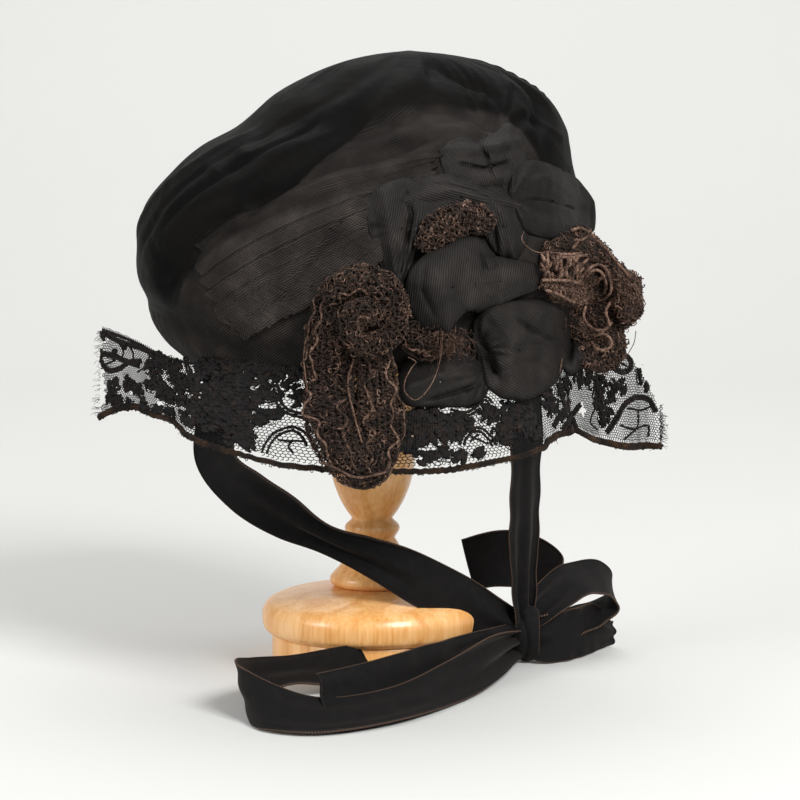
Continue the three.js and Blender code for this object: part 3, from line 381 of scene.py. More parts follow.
# %% Reading tables
def read_rows(rows, key, column, at):
    keys = np.array([row[key] for row in rows], float)
    values = np.array([row[column] for row in rows], float)
    wide_keys = np.concatenate((keys[:1], keys, keys[-1:]))
    wide_values = np.concatenate((values[:1], values, values[-1:]))
    slopes = (wide_values[2:] - wide_values[:-2]) / (wide_keys[2:] - wide_keys[:-2])
    at = np.asarray(at, float)
    n = np.clip(np.searchsorted(keys, at) - 1, 0, len(keys) - 2)
    span = keys[n + 1] - keys[n]
    t = np.clip((at - keys[n]) / span, 0, 1)
    return ((2 * t**3 - 3 * t**2 + 1) * values[n] + (t**3 - 2 * t**2 + t) * span * slopes[n]
            + (3 * t**2 - 2 * t**3) * values[n + 1] + (t**3 - t**2) * span * slopes[n + 1])


def table(columns, text):
    """Rows of numbers with named columns, each with an even place from 0 to 1 as well."""
    lines = [line.split() for line in text.strip().splitlines()]
    names = columns.split() + ["along"]
    return [dict(zip(names, map(float, line + [n / (len(lines) - 1)]))) for n, line in enumerate(lines)]


def smooth_step(low, high, value):
    t = np.clip((value - low) / (high - low), 0, 1)
    return t * t * (3 - 2 * t)


def ripples(at, counts, seed):
    """A sum of waves with seeded sizes and starts: an uneven ripple between about -1 and 1."""
    chance = np.random.default_rng(seed)
    total = np.zeros(np.shape(at))
    weight = 0
    for count in counts:
        size = chance.uniform(0.5, 1)
        total += size * np.sin(full_turn * count * at + chance.uniform(0, full_turn))
        weight += size
    return total / weight * 1.6


def sharp_waves(at, seed, depth=1.0):
    """A wave with narrow crests and wide valleys between -1 and 1, as crushed cloth has."""
    start = np.random.default_rng(seed).uniform()
    return depth * (1 - 2 * np.abs(np.sin(math.pi * (at + start))))


# %% [markdown]
# ## Wood
# The stand is turned from a pale, close-grained hardwood and varnished. Its grain runs up the column,
# so the noise is stretched along Z. Rings of slightly darker wood show where the lathe cut across them,
# and a thin clear coat gives the small sharp highlights over the soft body colour.

# %% Varnished wood
grain_width = 1.6 * mm
ring_width = 9 * mm


def wood_places(tree, across, along):
    places = add_node(tree, "ShaderNodeTexCoord").outputs["Object"]
    return add_node(tree, "ShaderNodeMapping", Vector=places, Scale=(across, across, along)).outputs[0]


def wood_colour(tree):
    rings = wood_places(tree, 1 / ring_width, 0.12 / ring_width)
    ring = add_node(tree, "ShaderNodeTexNoise", Vector=rings, Scale=0.6, Detail=4.0,
                    Distortion=1.4).outputs[0]
    fine = wood_places(tree, 1 / grain_width, 0.05 / grain_width)
    grain = add_node(tree, "ShaderNodeTexNoise", Vector=fine, Scale=1.0, Detail=3.0).outputs[0]
    mix = calc(tree, "MULTIPLY_ADD", grain, 0.35, calc(tree, "MULTIPLY", ring, 0.65))
    return colour_steps(tree, mix, ((0.30, "#d08a48"), (0.44, "#e9a860"), (0.56, "#f6be7c"),
                                    (0.72, "#fdd09a")))


def wood_height(tree):
    fine = wood_places(tree, 1 / grain_width, 0.05 / grain_width)
    return add_node(tree, "ShaderNodeTexNoise", Vector=fine, Scale=1.5, Detail=3.0).outputs[0]


varnished_wood = finish("varnished_wood", wood_colour, 0.38, wood_height, 0.08 * mm,
                        Coat_Weight=0.35, Coat_Roughness=0.16, Specular_IOR_Level=0.45)

# %% [markdown]
# The turned pieces are drawn again with more sides than the frame needs, from the same profiles:
# a foot in two tiers, a column with two beads and a belly, and a plain dome inside the crown.

# %% Turned stand
foot_radius, foot_step = 58 * mm, 5.2 * mm
foot_low_height, foot_high_height = 17.5 * mm, 24 * mm
column_radius = 22.2 * mm
head_radius = 46 * mm
turned_sides = 64
foot_low_steps, profile_steps, column_steps = 24, 60, 150

foot_low_rows = table("r z", """
     0.955    0.00
     0.990    0.08
     1.000    0.20
     1.000    1.00""")
foot_high_rows = table("r z", """
     0.930    0.00
     0.985    0.12
     1.000    0.36
     0.985    0.54
     0.930    0.70
     0.800    0.82
     0.600    0.92
     0.300    1.00""")
column_low_rows = table("r z", """
     0.920   0.000
     0.990   0.016
     1.000   0.038
     0.950   0.060
     0.760   0.105
     0.610   0.155
     0.545   0.176
     0.630   0.186
     0.650   0.200
     0.630   0.216
     0.550   0.246
     0.550   0.258
     0.630   0.286
     0.650   0.302
     0.620   0.322
     0.500   0.348
     0.500   0.362
     0.620   0.400
     0.780   0.465
     0.920   0.550
     1.000   0.640
     1.040   0.800
     1.060   1.000""")
column_turning = 100 * mm
head_rows = table("r z", """
     0.500    0.00
     1.000    0.10
     1.000    0.22
     0.955    0.50
     0.840    0.74
     0.640    0.90
     0.360    0.98
     0.000    1.00""")


def add_turned(bundle, rows, radius, base, height, steps=profile_steps):
    """A lathe-turned solid: the rows' profile swept round Z, closed at both ends."""
    at = np.linspace(0, 1, steps)
    reach = read_rows(rows, "along", "r", at) * radius
    level = base + read_rows(rows, "along", "z", at) * height
    turns = np.arange(turned_sides) * full_turn / turned_sides
    ring = np.stack([np.outer(np.cos(turns), reach), np.outer(np.sin(turns), reach)], -1)
    grid = np.concatenate([ring, np.broadcast_to(level, ring.shape[:2])[..., None]], -1)
    bundle.add(grid, grid_faces(turned_sides, steps, ring_rows=True))
    first = bundle.count - turned_sides * steps
    around = np.arange(turned_sides)
    after = (around + 1) % turned_sides
    for end, column, order in ((0, 0, 1), (1, steps - 1, -1)):
        centre = np.array([[0, 0, level[column]]])
        bundle.add(centre, np.zeros((0, 3), int))
        middle = np.full(turned_sides, bundle.count - 1)
        caps = np.stack([middle, first + after * steps + column, first + around * steps + column][::order],
                        -1)
        bundle.faces.append((caps, 0))


foot = Bundle()
add_turned(foot, foot_low_rows, foot_radius - foot_step, 0, foot_low_height, foot_low_steps)
add_turned(foot, foot_high_rows, foot_radius, foot_low_height, foot_high_height)
foot.build("turned_foot", [varnished_wood], ["stand_foot"])

column_low, column_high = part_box("stand_column")
column_length = column_high.z - column_low.z
column = Bundle()
column_rows = [dict(row, z=row["z"] * column_turning / column_length) for row in column_low_rows]
column_rows.append({"r": 0.9, "z": 1})
column_rows = [dict(row, along=n / (len(column_rows) - 1)) for n, row in enumerate(column_rows)]
add_turned(column, column_rows, column_radius, column_low.z, column_length, column_steps)
column.build("turned_column", [varnished_wood], ["stand_column"])

head_low, head_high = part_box("stand_head")
head = Bundle()
add_turned(head, head_rows, head_radius, head_low.z, head_high.z - head_low.z)
head.build("turned_head", [varnished_wood], ["stand_head"])

# %% [markdown]
# ## Crown
# The crown is one big puff of doubled black silk, gathered into the rim below and pulled together at the
# top right under the trim. Its plan is known at fourteen heights, and at each height it is a slightly
# squared oval. Cloth simulation could drape it, but this puff was stitched and crushed for a century,
# so its creases are placed where they lie, and finer pleats are added as seeded ripples.

# %% Crown sizes
rim_height = 163 * mm
crown_width, crown_depth, crown_height = 233 * mm, 226 * mm, 158 * mm
crown_wall = 1.6 * mm
section_squareness = 2.15

crown_sections = table("rise left right front back", """
     0.000   0.416   0.378   0.425   0.407
     0.060   0.463   0.416   0.460   0.455
     0.170   0.511   0.455   0.487   0.500
     0.300   0.525   0.472   0.496   0.522
     0.410   0.519   0.476   0.487   0.526
     0.520   0.494   0.464   0.465   0.513
     0.620   0.436   0.448   0.425   0.480
     0.690   0.376   0.442   0.385   0.447
     0.750   0.300   0.431   0.345   0.407
     0.854   0.219   0.386   0.260   0.310
     0.920   0.139   0.318   0.190   0.235
     0.965   0.061   0.245   0.120   0.160
     0.988  -0.010   0.163   0.065   0.090
     1.000  -0.082   0.082  -0.010   0.010""")


def crown_base(turn, rise):
    """A place on the smooth crown: turn is a share of a turn from the front, rise of its height."""
    at = np.clip(rise, 0, 1)
    left, right, front, back = (read_rows(crown_sections, "rise", c, at) for c in ("left", "right", "front",
                                                                                   "back"))
    bend = lambda value: np.sign(value) * np.abs(value) ** (2 / section_squareness)
    angle = full_turn * turn
    return np.stack([
        ((right - left) + (right + left) * bend(np.sin(angle))) / 2 * crown_width,
        ((back - front) - (back + front) * bend(np.cos(angle))) / 2 * crown_depth,
        rim_height + crown_height * rise + 0 * angle,
    ], -1)


def crown_normal(turn, rise):
    step = 0.004
    along = crown_base(turn + step, rise) - crown_base(turn - step, rise)
    upper = np.clip(rise + step, 2 * step, 1 - step)
    return unit(np.cross(along, crown_base(turn, upper) - crown_base(turn, upper - 2 * step)))


# %% [markdown]
# A fold is a line on the cloth with a profile across it. Three profiles do for silk: a crease is a soft
# valley, a ridge stands up, and a lap is a step where one layer lies over the next, high on its upper
# side and pressed down below. Depth and width are real sizes.

# %% Folds
girth = math.pi * (crown_width + crown_depth) / 2
lap_step, fold_fade = 0.9 * mm, 0.18


def nearest_on(line, x, y):
    """How far each place is from a line, the same with a sign for its side, and the share along the line."""
    nearest, signed, share = np.full(np.shape(x), 1e9), np.zeros(np.shape(x)), np.zeros(np.shape(x))
    for n, ((ax, ay), (bx, by)) in enumerate(zip(line, line[1:])):
        dx, dy = bx - ax, by - ay
        t = np.clip(((x - ax) * dx + (y - ay) * dy) / (dx * dx + dy * dy), 0, 1)
        gap = np.hypot(x - ax - t * dx, y - ay - t * dy)
        closer = gap < nearest
        nearest = np.where(closer, gap, nearest)
        signed = np.where(closer, gap * np.sign(dx * (y - ay) - dy * (x - ax)), signed)
        share = np.where(closer, (n + t) / (len(line) - 1), share)
    return nearest, signed, share


def fold_profile(kind, nearest, signed, width, lap):
    """A fold's lift as a share of its depth: a crease goes down, a ridge up, and a lap is a step."""
    if kind == "lap":
        return np.tanh(signed / lap) * np.exp(-nearest / width)
    return np.exp(-((nearest / width) ** 2)) * (-1 if kind == "crease" else 1)


def fold_lift(folds, turn, rise):
    """How far the folds lift each place on the crown, in metres. A last value of False keeps the ends deep."""
    lift = np.zeros(np.shape(turn))
    for kind, depth, width, line, *fades in folds:
        places = [(t * girth, r * crown_height) for t, r in line]
        nearest, signed, share = nearest_on(places, turn * girth, rise * crown_height)
        ends = 1 if fades else smooth_step(0, fold_fade, share) * smooth_step(0, fold_fade, 1 - share)
        lift += depth * mm * fold_profile(kind, nearest, signed, width * mm, lap_step) * ends
    return lift


# Each fold: its kind, depth and width in millimetres, and its line of places (turn, rise).
# A lap is high on the left of its line as the line is followed.
crown_folds = [
    ("crease", 6.5, 9, [(-.150, .300), (-.086, .504), (-.046, .740), (.012, .852), (.072, .830)], False),
    ("crease", 6.0, 6.5, [(-.094, .520), (-.060, .580), (-.022, .660), (.042, .760)]),
    ("crease", 4.4, 8, [(.028, .960), (.094, .880), (.088, .770)], False),
    ("crease", 3.8, 8.7, [(.200, .880), (.140, .740)]),
    ("crease", 4.0, 9, [(-.280, .200), (-.170, .160), (-.090, .060)], False),
    ("crease", 4.0, 11, [(-.480, .120), (-.380, .620)]),
    ("crease", 4.0, 11, [(.430, .120), (.330, .640)]),
    ("lap", 1.3, 12, [(-.258, .144), (-.170, .165), (-.128, .200), (-.124, .400), (-.086, .504),
                      (-.056, .592)]),
    ("lap", 1.2, 10, [(-.046, .740), (-.024, .812), (.012, .852), (.072, .836)]),
    ("lap", 1.5, 7, [(.100, .800), (.094, .880), (.060, .930), (.028, .960)]),
    ("lap", 1.4, 6, [(.098, .780), (.125, .860), (.150, .900)]),
    ("lap", 1.3, 6, [(.090, .770), (.130, .800), (.170, .790)]),
    ("ridge", 1.6, 4, [(-.016, .690), (.020, .700), (.060, .735)]),
    ("ridge", 1.5, 3.5, [(.000, .730), (.035, .745), (.070, .770)]),
    ("crease", 1.8, 3, [(-.010, .712), (.030, .722), (.066, .752)]),
    ("crease", 1.8, 3, [(-.170, .420), (-.120, .620), (-.080, .800)]),
    ("crease", 1.2, 4, [(-.210, .300), (-.170, .520), (-.130, .760), (-.06, .90)]),
    ("ridge", 1.2, 5, [(-.240, .360), (-.200, .560), (-.150, .780)]),
    ("lap", 1.6, 6, [(.160, .560), (.130, .600), (.100, .640)]),
    ("crease", 2.0, 4, [(.235, .300), (.215, .480), (.190, .620)]),
    ("crease", 2.4, 6, [(.300, .150), (.285, .400), (.300, .620), (.260, .800)]),
    ("lap", 1.5, 9, [(.480, .300), (.400, .420), (.330, .520), (.280, .640)]),
    ("crease", 2.4, 7, [(-.440, .300), (-.360, .360), (-.290, .330)]),
    ("lap", 1.4, 9, [(-.300, .480), (-.380, .560), (-.460, .700)]),
    ("crease", 2.6, 6, [(-.500, .420), (-.470, .600), (-.420, .820)]),
]

# %% [markdown]
# The pleats that run out of a gathering thread fan out and die away. Two threads show: the rim, whose
# pleats stand upright, and the pinch at the top right, whose pleats fan from one point.

# %% Gathers
rim_pleat_depth, rim_pleat_reach = 1.5 * mm, 13 * mm
pinch_turn, pinch_rise = 0.088, 0.740
pinch_pleat_depth, pinch_reach = 1.7 * mm, 26 * mm
crumple_depth = 0.8 * mm
sweep_lean = math.radians(28)  # the cloth is pulled up towards the pinch


def crown_lift(turn, rise):
    height = rise * crown_height
    wrapped = (turn + 0.5) % 1 - 0.5
    lift = fold_lift(crown_folds, wrapped, rise)
    lift += rim_pleat_depth * (ripples(turn, range(31, 74, 6), 3) - 0.4) * np.exp(-height / rim_pleat_reach)
    x, z = (wrapped - pinch_turn) * girth, (rise - pinch_rise) * crown_height
    away = np.hypot(x, z)
    fan = ripples(np.arctan2(z, x) / full_turn, range(7, 24, 3), 5)
    lift += pinch_pleat_depth * fan * np.exp(-away / pinch_reach) * smooth_step(0, 8 * mm, away)
    x = wrapped * girth
    run = x * math.cos(sweep_lean) + height * math.sin(sweep_lean)
    over = height * math.cos(sweep_lean) - x * math.sin(sweep_lean) * np.cos(full_turn * wrapped)
    wobble = 5 * mm * ripples(run / 0.3, range(1, 5), 13)
    long_folds = ripples((over + wobble) / 0.09, range(1, 6),
                         9) * (0.5 + 0.5 * ripples(run / 0.35, range(1, 4), 10))
    streaks = sharp_waves((over + wobble) / 0.013 + 0.8 * ripples(run / 0.2, range(1, 5), 14), 11)
    streaks = streaks * np.clip(ripples(run / 0.25, range(1, 5), 15) * ripples(over / 0.1, range(1, 4), 16),
                                0, 1)
    fade = smooth_step(1.0, 0.93, rise) * np.minimum(1, 0.3 + 3 * rise)
    return (lift + crumple_depth * (1.5 * long_folds + 0.9 * streaks)) * fade


def crown_point(turn, rise, out=0.0):
    wrapped = (turn + 0.5) % 1 - 0.5
    lift = (out + crown_lift(wrapped, np.clip(rise, 0, 1)))[..., None]
    return crown_base(wrapped, rise) + crown_normal(wrapped, np.clip(rise, 0, 1)) * lift


# %% [markdown]
# ### Silk
# Two silks make the crown. The roll over the top is a plain black satin-like silk: deep, nearly black,
# with a low soft gleam. The band, the drape and the lower panel are a ribbed silk that has faded to a
# brown grey. One finish holds both, and the tone of each point chooses: 0 is plain, 1 is ribbed. Where
# painted shade lowers the tone in the folds, the silk is painted darker. Real ribs are about half a
# millimetre apart, and they are drawn coarser so that they show. The satin of the trim is the same cloth
# with more gloss.

# %% Silk finishes
rib_spacing = 1.15 * mm
cross_spacing = 0.7 * mm


def attribute(tree, name, output):
    return add_node(tree, "ShaderNodeAttribute", {"attribute_name": name}).outputs[output]


def cloth_axes(tree):
    """How far along and across the cloth, in metres."""
    parts = add_node(tree, "ShaderNodeSeparateXYZ", Vector=attribute(tree, "cloth", "Vector"))
    return parts.outputs[0], parts.outputs[1]


def waves(tree, distance, spacing):
    """An even wave from 0 to 1 with one crest in each spacing."""
    angle = calc(tree, "MULTIPLY", distance, full_turn / spacing)
    return calc(tree, "MULTIPLY_ADD", calc(tree, "SINE", angle), 0.5, 0.5)


def cloudy(tree, size, detail=3.0, seed=0.0):
    """Soft noise whose patches are about that size in metres."""
    places = add_node(tree, "ShaderNodeTexCoord").outputs["Object"]
    moved = add_node(tree, "ShaderNodeMapping", Vector=places, Location=(seed, seed, seed)).outputs[0]
    return add_node(tree, "ShaderNodeTexNoise", Vector=moved, Scale=1 / size, Detail=detail).outputs[0]


def mixed(tree, factor, first, second):
    mix = add_node(tree, "ShaderNodeMix", {"data_type": "RGBA"}, i0=factor)
    tree.links.new(first, mix.inputs[6])
    tree.links.new(second, mix.inputs[7])
    return mix.outputs[2]


def silk_colour(tree):
    along, across = cloth_axes(tree)
    plain = colour_steps(tree, cloudy(tree, 30 * mm), ((0.35, "#0a0909"), (0.65, "#100f0e")))
    fade = colour_steps(tree, cloudy(tree, 14 * mm, 5.0),
                        ((0.30, "#2b2826"), (0.55, "#3b3633"), (0.75, "#4d4743")))
    thread = waves(tree, across, rib_spacing)
    ribbed = mixed(tree, calc(tree, "MULTIPLY", thread, 0.75), fade, plain)
    return mixed(tree, attribute(tree, "tone", "Fac"), plain, ribbed)


def silk_roughness(tree):
    dull = calc(tree, "MULTIPLY", attribute(tree, "tone", "Fac"), 0.16)
    return calc(tree, "ADD", calc(tree, "MULTIPLY_ADD", cloudy(tree, 9 * mm, seed=1.0), 0.22, 0.42), dull)


def silk_height(tree):
    along, across = cloth_axes(tree)
    tone = attribute(tree, "tone", "Fac")
    ribs = calc(tree, "MULTIPLY", waves(tree, across, rib_spacing),
                calc(tree, "MULTIPLY_ADD", tone, 0.50, 0.04))
    threads = calc(tree, "MULTIPLY_ADD", waves(tree, along, cross_spacing), 0.06, ribs)
    crush = calc(tree, "MULTIPLY", cloudy(tree, 5 * mm, 4.0, 2.0), 0.8)
    return calc(tree, "ADD", crush, threads)


black_silk = finish("black_silk", silk_colour, silk_roughness, silk_height, 0.55 * mm,
                    Specular_IOR_Level=0.03, Sheen_Weight=0.003, Sheen_Roughness=0.45,
                    Sheen_Tint=linear("#8a7a6c"))
satin_silk = finish("black_satin", silk_colour, silk_roughness, silk_height, 0.55 * mm,
                    Specular_IOR_Level=0.13, Sheen_Weight=0.01, Sheen_Roughness=0.45,
                    Sheen_Tint=linear("#8a7a6c"))
print("silk ribs every", round(rib_spacing / mm, 2), "mm")

# %% [markdown]
# The crown's mesh spends its points where the eye is: the columns are twice as close at the front as at
# the back. The inner wall is hardly seen, so it keeps every third row and column.

# %% Crown mesh
crown_columns, crown_rows = 252, 109
inner_step = 3
crown_lean = 0.35
top_ease = 1.7

share = np.arange(crown_columns) / crown_columns
crown_turns = share - crown_lean / full_turn * np.sin(full_turn * share)
level = np.linspace(0, 1, crown_rows)
crown_rises = 1 - (1 - level) ** top_ease

turns, rises = np.meshgrid(crown_turns, crown_rises, indexing="ij")
outer = crown_point(turns, rises)
outer[:, -1] = outer[:, -1].mean(0)
roll_edge = table("turn rise", """
      -.50     .10
      -.35     .12
     -.258    .144
     -.150    .170
     -.126    .300
     -.118    .420
     -.086    .504
     -.056    .600
     -.044    .740
     -.020    .815
      .012    .850
      .072    .836
      .100    .800
      .150    .620
      .200    .300
      .300    .120
       .50     .10""")
drape_edge = table("turn rise", """
      -.50     .50
     -.124     .40
      -.05     .58
      .042     .66
       .20     .60
       .50     .50""")


def crown_tone(turn, rise):
    """0 on the plain dark silk, most on the faded ribbed band, less on the panels below it."""
    wrapped = (turn + 0.5) % 1 - 0.5
    edge = read_rows(roll_edge, "turn", "rise", wrapped)
    below = read_rows(drape_edge, "turn", "rise", wrapped)
    return smooth_step(-0.012, 0.012, edge - rise) * (0.60 + 0.65 * smooth_step(-0.01, 0.01, rise - below))


def painted_crease_shade(lift):
    """Painted shade: a factor that lowers the tone, so the silk is darker down in its folds and creases and
    keeps its full tone on the ridges.
    """
    return 0.42 + 0.58 * smooth_step(-3.6 * mm, -0.6 * mm, lift)


def crown_cloth(turn, rise, grid):
    """Distance round and up the crown, with the ribs leaning as the cloth was cut."""
    wrapped = (turn + 0.5) % 1 - 0.5
    cloth = np.zeros(grid.shape)
    cloth[..., 0] = wrapped * girth
    cloth[..., 1] = rise * crown_height - 0.5 * wrapped * girth
    return cloth


crown = Bundle()
normals = grid_normals(outer, ring=True)
# The tone is the faded ribbed band, lowered by painted shade down in the crown's creases.
crown.add(outer, grid_faces(crown_columns, crown_rows, ring_rows=True),
          crown_cloth(turns, rises, outer), crown_tone(turns, rises) * painted_crease_shade(crown_lift(turns, rises)))
inner = (outer - normals * crown_wall)[::inner_step, ::inner_step]
inner[:, -1] = outer[0, -1] - (0, 0, crown_wall)
inner_columns, inner_rows = inner.shape[:2]
crown.add(inner, grid_faces(inner_columns, inner_rows, ring_rows=True)[:, ::-1],
          crown_cloth(turns, rises, outer)[::inner_step, ::inner_step])
rim_outer = np.arange(crown_columns + 1) % crown_columns * crown_rows
rim_inner = crown_columns * crown_rows + np.arange(inner_columns + 1) % inner_columns * inner_rows
rim_faces = []
for n in range(inner_columns):
    for k in range(inner_step):
        a, b = rim_outer[n * inner_step + k], rim_outer[n * inner_step + k + 1]
        rim_faces.append((a, rim_inner[n], b))
    rim_faces.append((rim_outer[(n + 1) * inner_step], rim_inner[n], rim_inner[n + 1]))
crown.faces.append((np.array(rim_faces), 0))
crown_piece = crown.build("silk_crown", [black_silk], ["crown"])

# %% [markdown]
# ### Drape
# A ribbed silk scarf lies over the front left of the crown, from a torn corner at the left to the pinch
# at the right. It is a thin sheet one cloth's thickness above the crown, with shallow folds of its own
# that run along it, a soft rolled hem below and a tattered edge.

# %% Drape
drape_rows = table("low_turn low_rise top_turn top_rise", """
    -0.084   0.095  -0.124   0.400
    -0.054   0.160  -0.086   0.510
    -0.016   0.240  -0.050   0.600
     0.010   0.340  -0.010   0.650
     0.040   0.530   0.042   0.680""")
drape_folds = [
    ("ridge", 2.0, 6, [(-.060, .200), (-.020, .330), (.020, .470)]),
    ("crease", 2.0, 5, [(-.020, .300), (.004, .420), (.030, .560)]),
    ("lap", 1.6, 7, [(-.062, .180), (-.030, .330), (-.010, .480), (.010, .600)]),
    ("crease", 1.6, 5, [(-.090, .460), (-.050, .520), (.000, .590), (.036, .640)]),
    ("ridge", 1.4, 4, [(-.040, .570), (.000, .615), (.040, .665)]),
    ("ridge", 1.8, 3.5, [(-.084, .095), (-.054, .160), (-.016, .240), (.010, .340)]),
]
drape_along, drape_up = 112, 56
drape_thickness, drape_air = 0.9 * mm, 1.5 * mm

at, up = np.meshgrid(np.linspace(0, 1, drape_along), np.linspace(0, 1, drape_up), indexing="ij")
edge = {c: read_rows(drape_rows, "along", c, at) for c in ("low_turn", "low_rise", "top_turn", "top_rise")}
tatter = 0.006 * ripples(at, range(5, 40, 5), 21) * (1 - up)
drape_turn = edge["low_turn"] + (edge["top_turn"] - edge["low_turn"]) * up
drape_turn = drape_turn + 0.004 * ripples(up, range(2, 9, 2), 22)
drape_rise = edge["low_rise"] + (edge["top_rise"] - edge["low_rise"]) * up + tatter
ends = smooth_step(0, 0.06, at) * smooth_step(0, 0.08, up) * smooth_step(0, 0.06, 1 - up)
own = fold_lift(drape_folds, drape_turn, drape_rise)
drape_grid = crown_point(drape_turn, drape_rise, drape_air + np.maximum(own,
                                                                        -0.6 * mm) * (0.4 + 0.6 * ends))
drape = Bundle()
# The tone is painted shade: the ribbed silk is darker down in the drape's folds and over the crown's creases.
add_cloth(drape, drape_grid, drape_thickness, tone=painted_crease_shade(crown_lift(drape_turn, drape_rise) + 2 * own))
drape_piece = drape.build("ribbed_drape", [black_silk], ["drape_panel"])

# %% [markdown]
# ## Lace
# The frill is machine net with corded motifs: a honeycomb of fine thread, half-round fans and scrolls
# laid in thick cord, and dense leaves and flowers. It could be a picture on a plain strip, but the wood
# and the light show through it, so the thread is real. The whole pattern is laid out flat first, in
# distances along and down the strip, and one function then bends each point onto the hanging frill.

# %% Frill sizes
frill_drop = 45 * mm
frill_flute_depth, frill_flute_count = 2.2 * mm, 9
frill_length = 350 * mm
frill_rows = table("side ahead top low flare", """
    -0.592   0.111    0.33   -0.63    0.06
    -0.524   0.159    0.23   -0.49    0.08
    -0.436   0.226    0.06   -0.56    0.14
    -0.330   0.325    0.03   -0.74    0.30
    -0.180   0.412    0.03   -0.90    0.46
     0.000   0.440    0.03   -0.97    0.50
     0.160   0.412    0.03   -0.96    0.48
     0.275   0.340    0.03   -0.86    0.44
     0.364   0.236    0.03   -0.73    0.34
     0.420   0.180    0.00   -0.72    0.18
     0.481   0.152    0.00   -0.86    0.12
     0.556   0.132   -0.02   -0.95    0.10
     0.620   0.115   -0.07   -0.96    0.08""")


def frill_point(along, down, out=0.0):
    """A place on the hanging frill: along from 0 to 1, down from 0 at the top to 1 at the lower edge."""
    read = lambda column, at: read_rows(frill_rows, "along", column, at)
    step = 0.01
    before, after = np.maximum(along - step, 0), np.minimum(along + step, 1)
    x = lambda at: read("side", at) * crown_width
    y = lambda at: -read("ahead", at) * crown_depth
    forward = unit(np.stack([y(after) - y(before), x(before) - x(after), 0 * along], -1))
    flute = frill_flute_depth * down * np.sin(full_turn * frill_flute_count * along)
    crush = 0.9 * mm * ripples(along, range(7, 40, 4), 31) * (0.3 + 0.7 * down)
    flare = read("flare", along) * frill_drop * down + flute + crush + out
    z = rim_height + frill_drop * (read("top", along) + (read("low", along) - read("top", along)) * down)
    beyond = np.clip(along - 1, 0, 1) * frill_length
    place = np.stack([x(along), y(along), z], -1) + forward * flare[..., None]
    place[..., 0] += beyond
    return place


def lace_point(flat, out=0.0):
    """Bends flat places, given as metres along and down, onto the frill."""
    return frill_point(flat[..., 0] / frill_length, flat[..., 1] / frill_drop, out)


def lace_normal(flat):
    step = np.array([0.5 * mm, 0])
    along = lace_point(flat + step) - lace_point(flat - step)
    down = lace_point(flat + step[::-1]) - lace_point(flat - step[::-1])
    return unit(np.cross(along, down))


# %% [markdown]
# The motifs are placed where the photograph shows them. A pixel becomes a place on the flat strip by a
# search for the nearest of many points of the frill, as the camera sees them. A lump is a dense flower in
# satin stitch, drawn as many small overlapping petals with curls of cord round it. A heavy line is a
# pair of cords, a vein is one.

# %% Places on the strip
def picture_of(points):
    """Where places show in the picture, in pixels."""
    away = points - camera_place
    c, s = math.cos(camera_down), math.sin(camera_down)
    ahead, rise = away[..., 1] * c - away[..., 2] * s, away[..., 1] * s + away[..., 2] * c
    middle = picture_width_px / 2
    return np.stack([middle + camera_focal_px * away[..., 0] / ahead,
                     middle - camera_focal_px * rise / ahead], -1)


strip_share = np.meshgrid(np.linspace(0, 1.012, 800), np.linspace(-0.2, 1.1, 90), indexing="ij")
strip = np.stack([strip_share[0] * frill_length, strip_share[1] * frill_drop], -1).reshape(-1, 2)
strip_tree = KDTree(len(strip))
for n, (px, py) in enumerate(picture_of(lace_point(strip))):
    strip_tree.insert((px, py, 0), n)
strip_tree.balance()


def flat_line(places, spacing=0.9 * mm):
    """A smooth line on the flat strip through pixels."""
    line = resample([(x, y, 0) for x, y in places], 1.5)
    flat = np.array([strip[strip_tree.find((x, y, 0))[1]] for x, y, _ in line])
    for _ in range(3):
        flat[1:-1] = (flat[:-2] + 2 * flat[1:-1] + flat[2:]) / 4
    return resample(np.concatenate([flat, np.zeros((len(flat), 1))], 1), spacing)[:, :2]


# %% Lace motifs
pixel_size = 0.511 * mm
lace_lumps = np.array([
    (115, 353, 5), (125, 345, 4), (104, 335, 4), (115, 387, 10), (130, 384, 10), (140, 390, 9),
    (153, 369, 12),
    (161, 361, 11), (173, 366, 12), (150, 384, 7), (160, 384, 10), (166, 394, 12), (179, 395, 13),
    (182, 381, 13),
    (176, 372, 9), (193, 407, 11), (204, 414, 13), (212, 404, 11), (226, 401, 12), (240, 387, 13),
    (228, 386, 11),
    (215, 390, 11), (200, 392, 12), (195, 380, 11), (205, 370, 12), (220, 368, 12), (236, 369, 12),
    (252, 368, 11),
    (245, 407, 13), (242, 422, 13), (237, 434, 11), (246, 440, 9), (222, 416, 10), (212, 425, 8),
    (263, 416, 6),
    (276, 413, 5), (264, 395, 6), (276, 396, 4), (268, 372, 9), (283, 366, 10), (295, 372, 7),
    (190, 420, 7),
    (427, 412, 9), (414, 431, 12), (435, 434, 12), (453, 427, 12), (463, 422, 8), (405, 443, 8),
    (400, 420, 10),
    (425, 423, 9), (487, 412, 8), (499, 423, 10), (503, 436, 8), (521, 418, 16), (510, 408, 9),
    (532, 430, 9),
    (550, 405, 12), (560, 392, 10), (545, 392, 9), (599, 386, 12), (598, 401, 12), (605, 412, 10),
    (602, 423, 5),
    (118, 402, 8), (130, 404, 7), (144, 404, 8), (158, 409, 7), (172, 412, 7), (185, 416, 7), (110, 398, 6),
    (262, 384, 6), (290, 384, 5), (445, 452, 5), (460, 455, 5), (425, 456, 6), (480, 452, 4), (300, 398, 6),
    (622, 386, 8), (613, 386, 6), (638, 371, 4), (640, 380, 3), (646, 386, 4), (592, 366, 13),
    (578, 378, 10),
    (566, 384, 11), (610, 396, 7), (588, 380, 8),
], float)
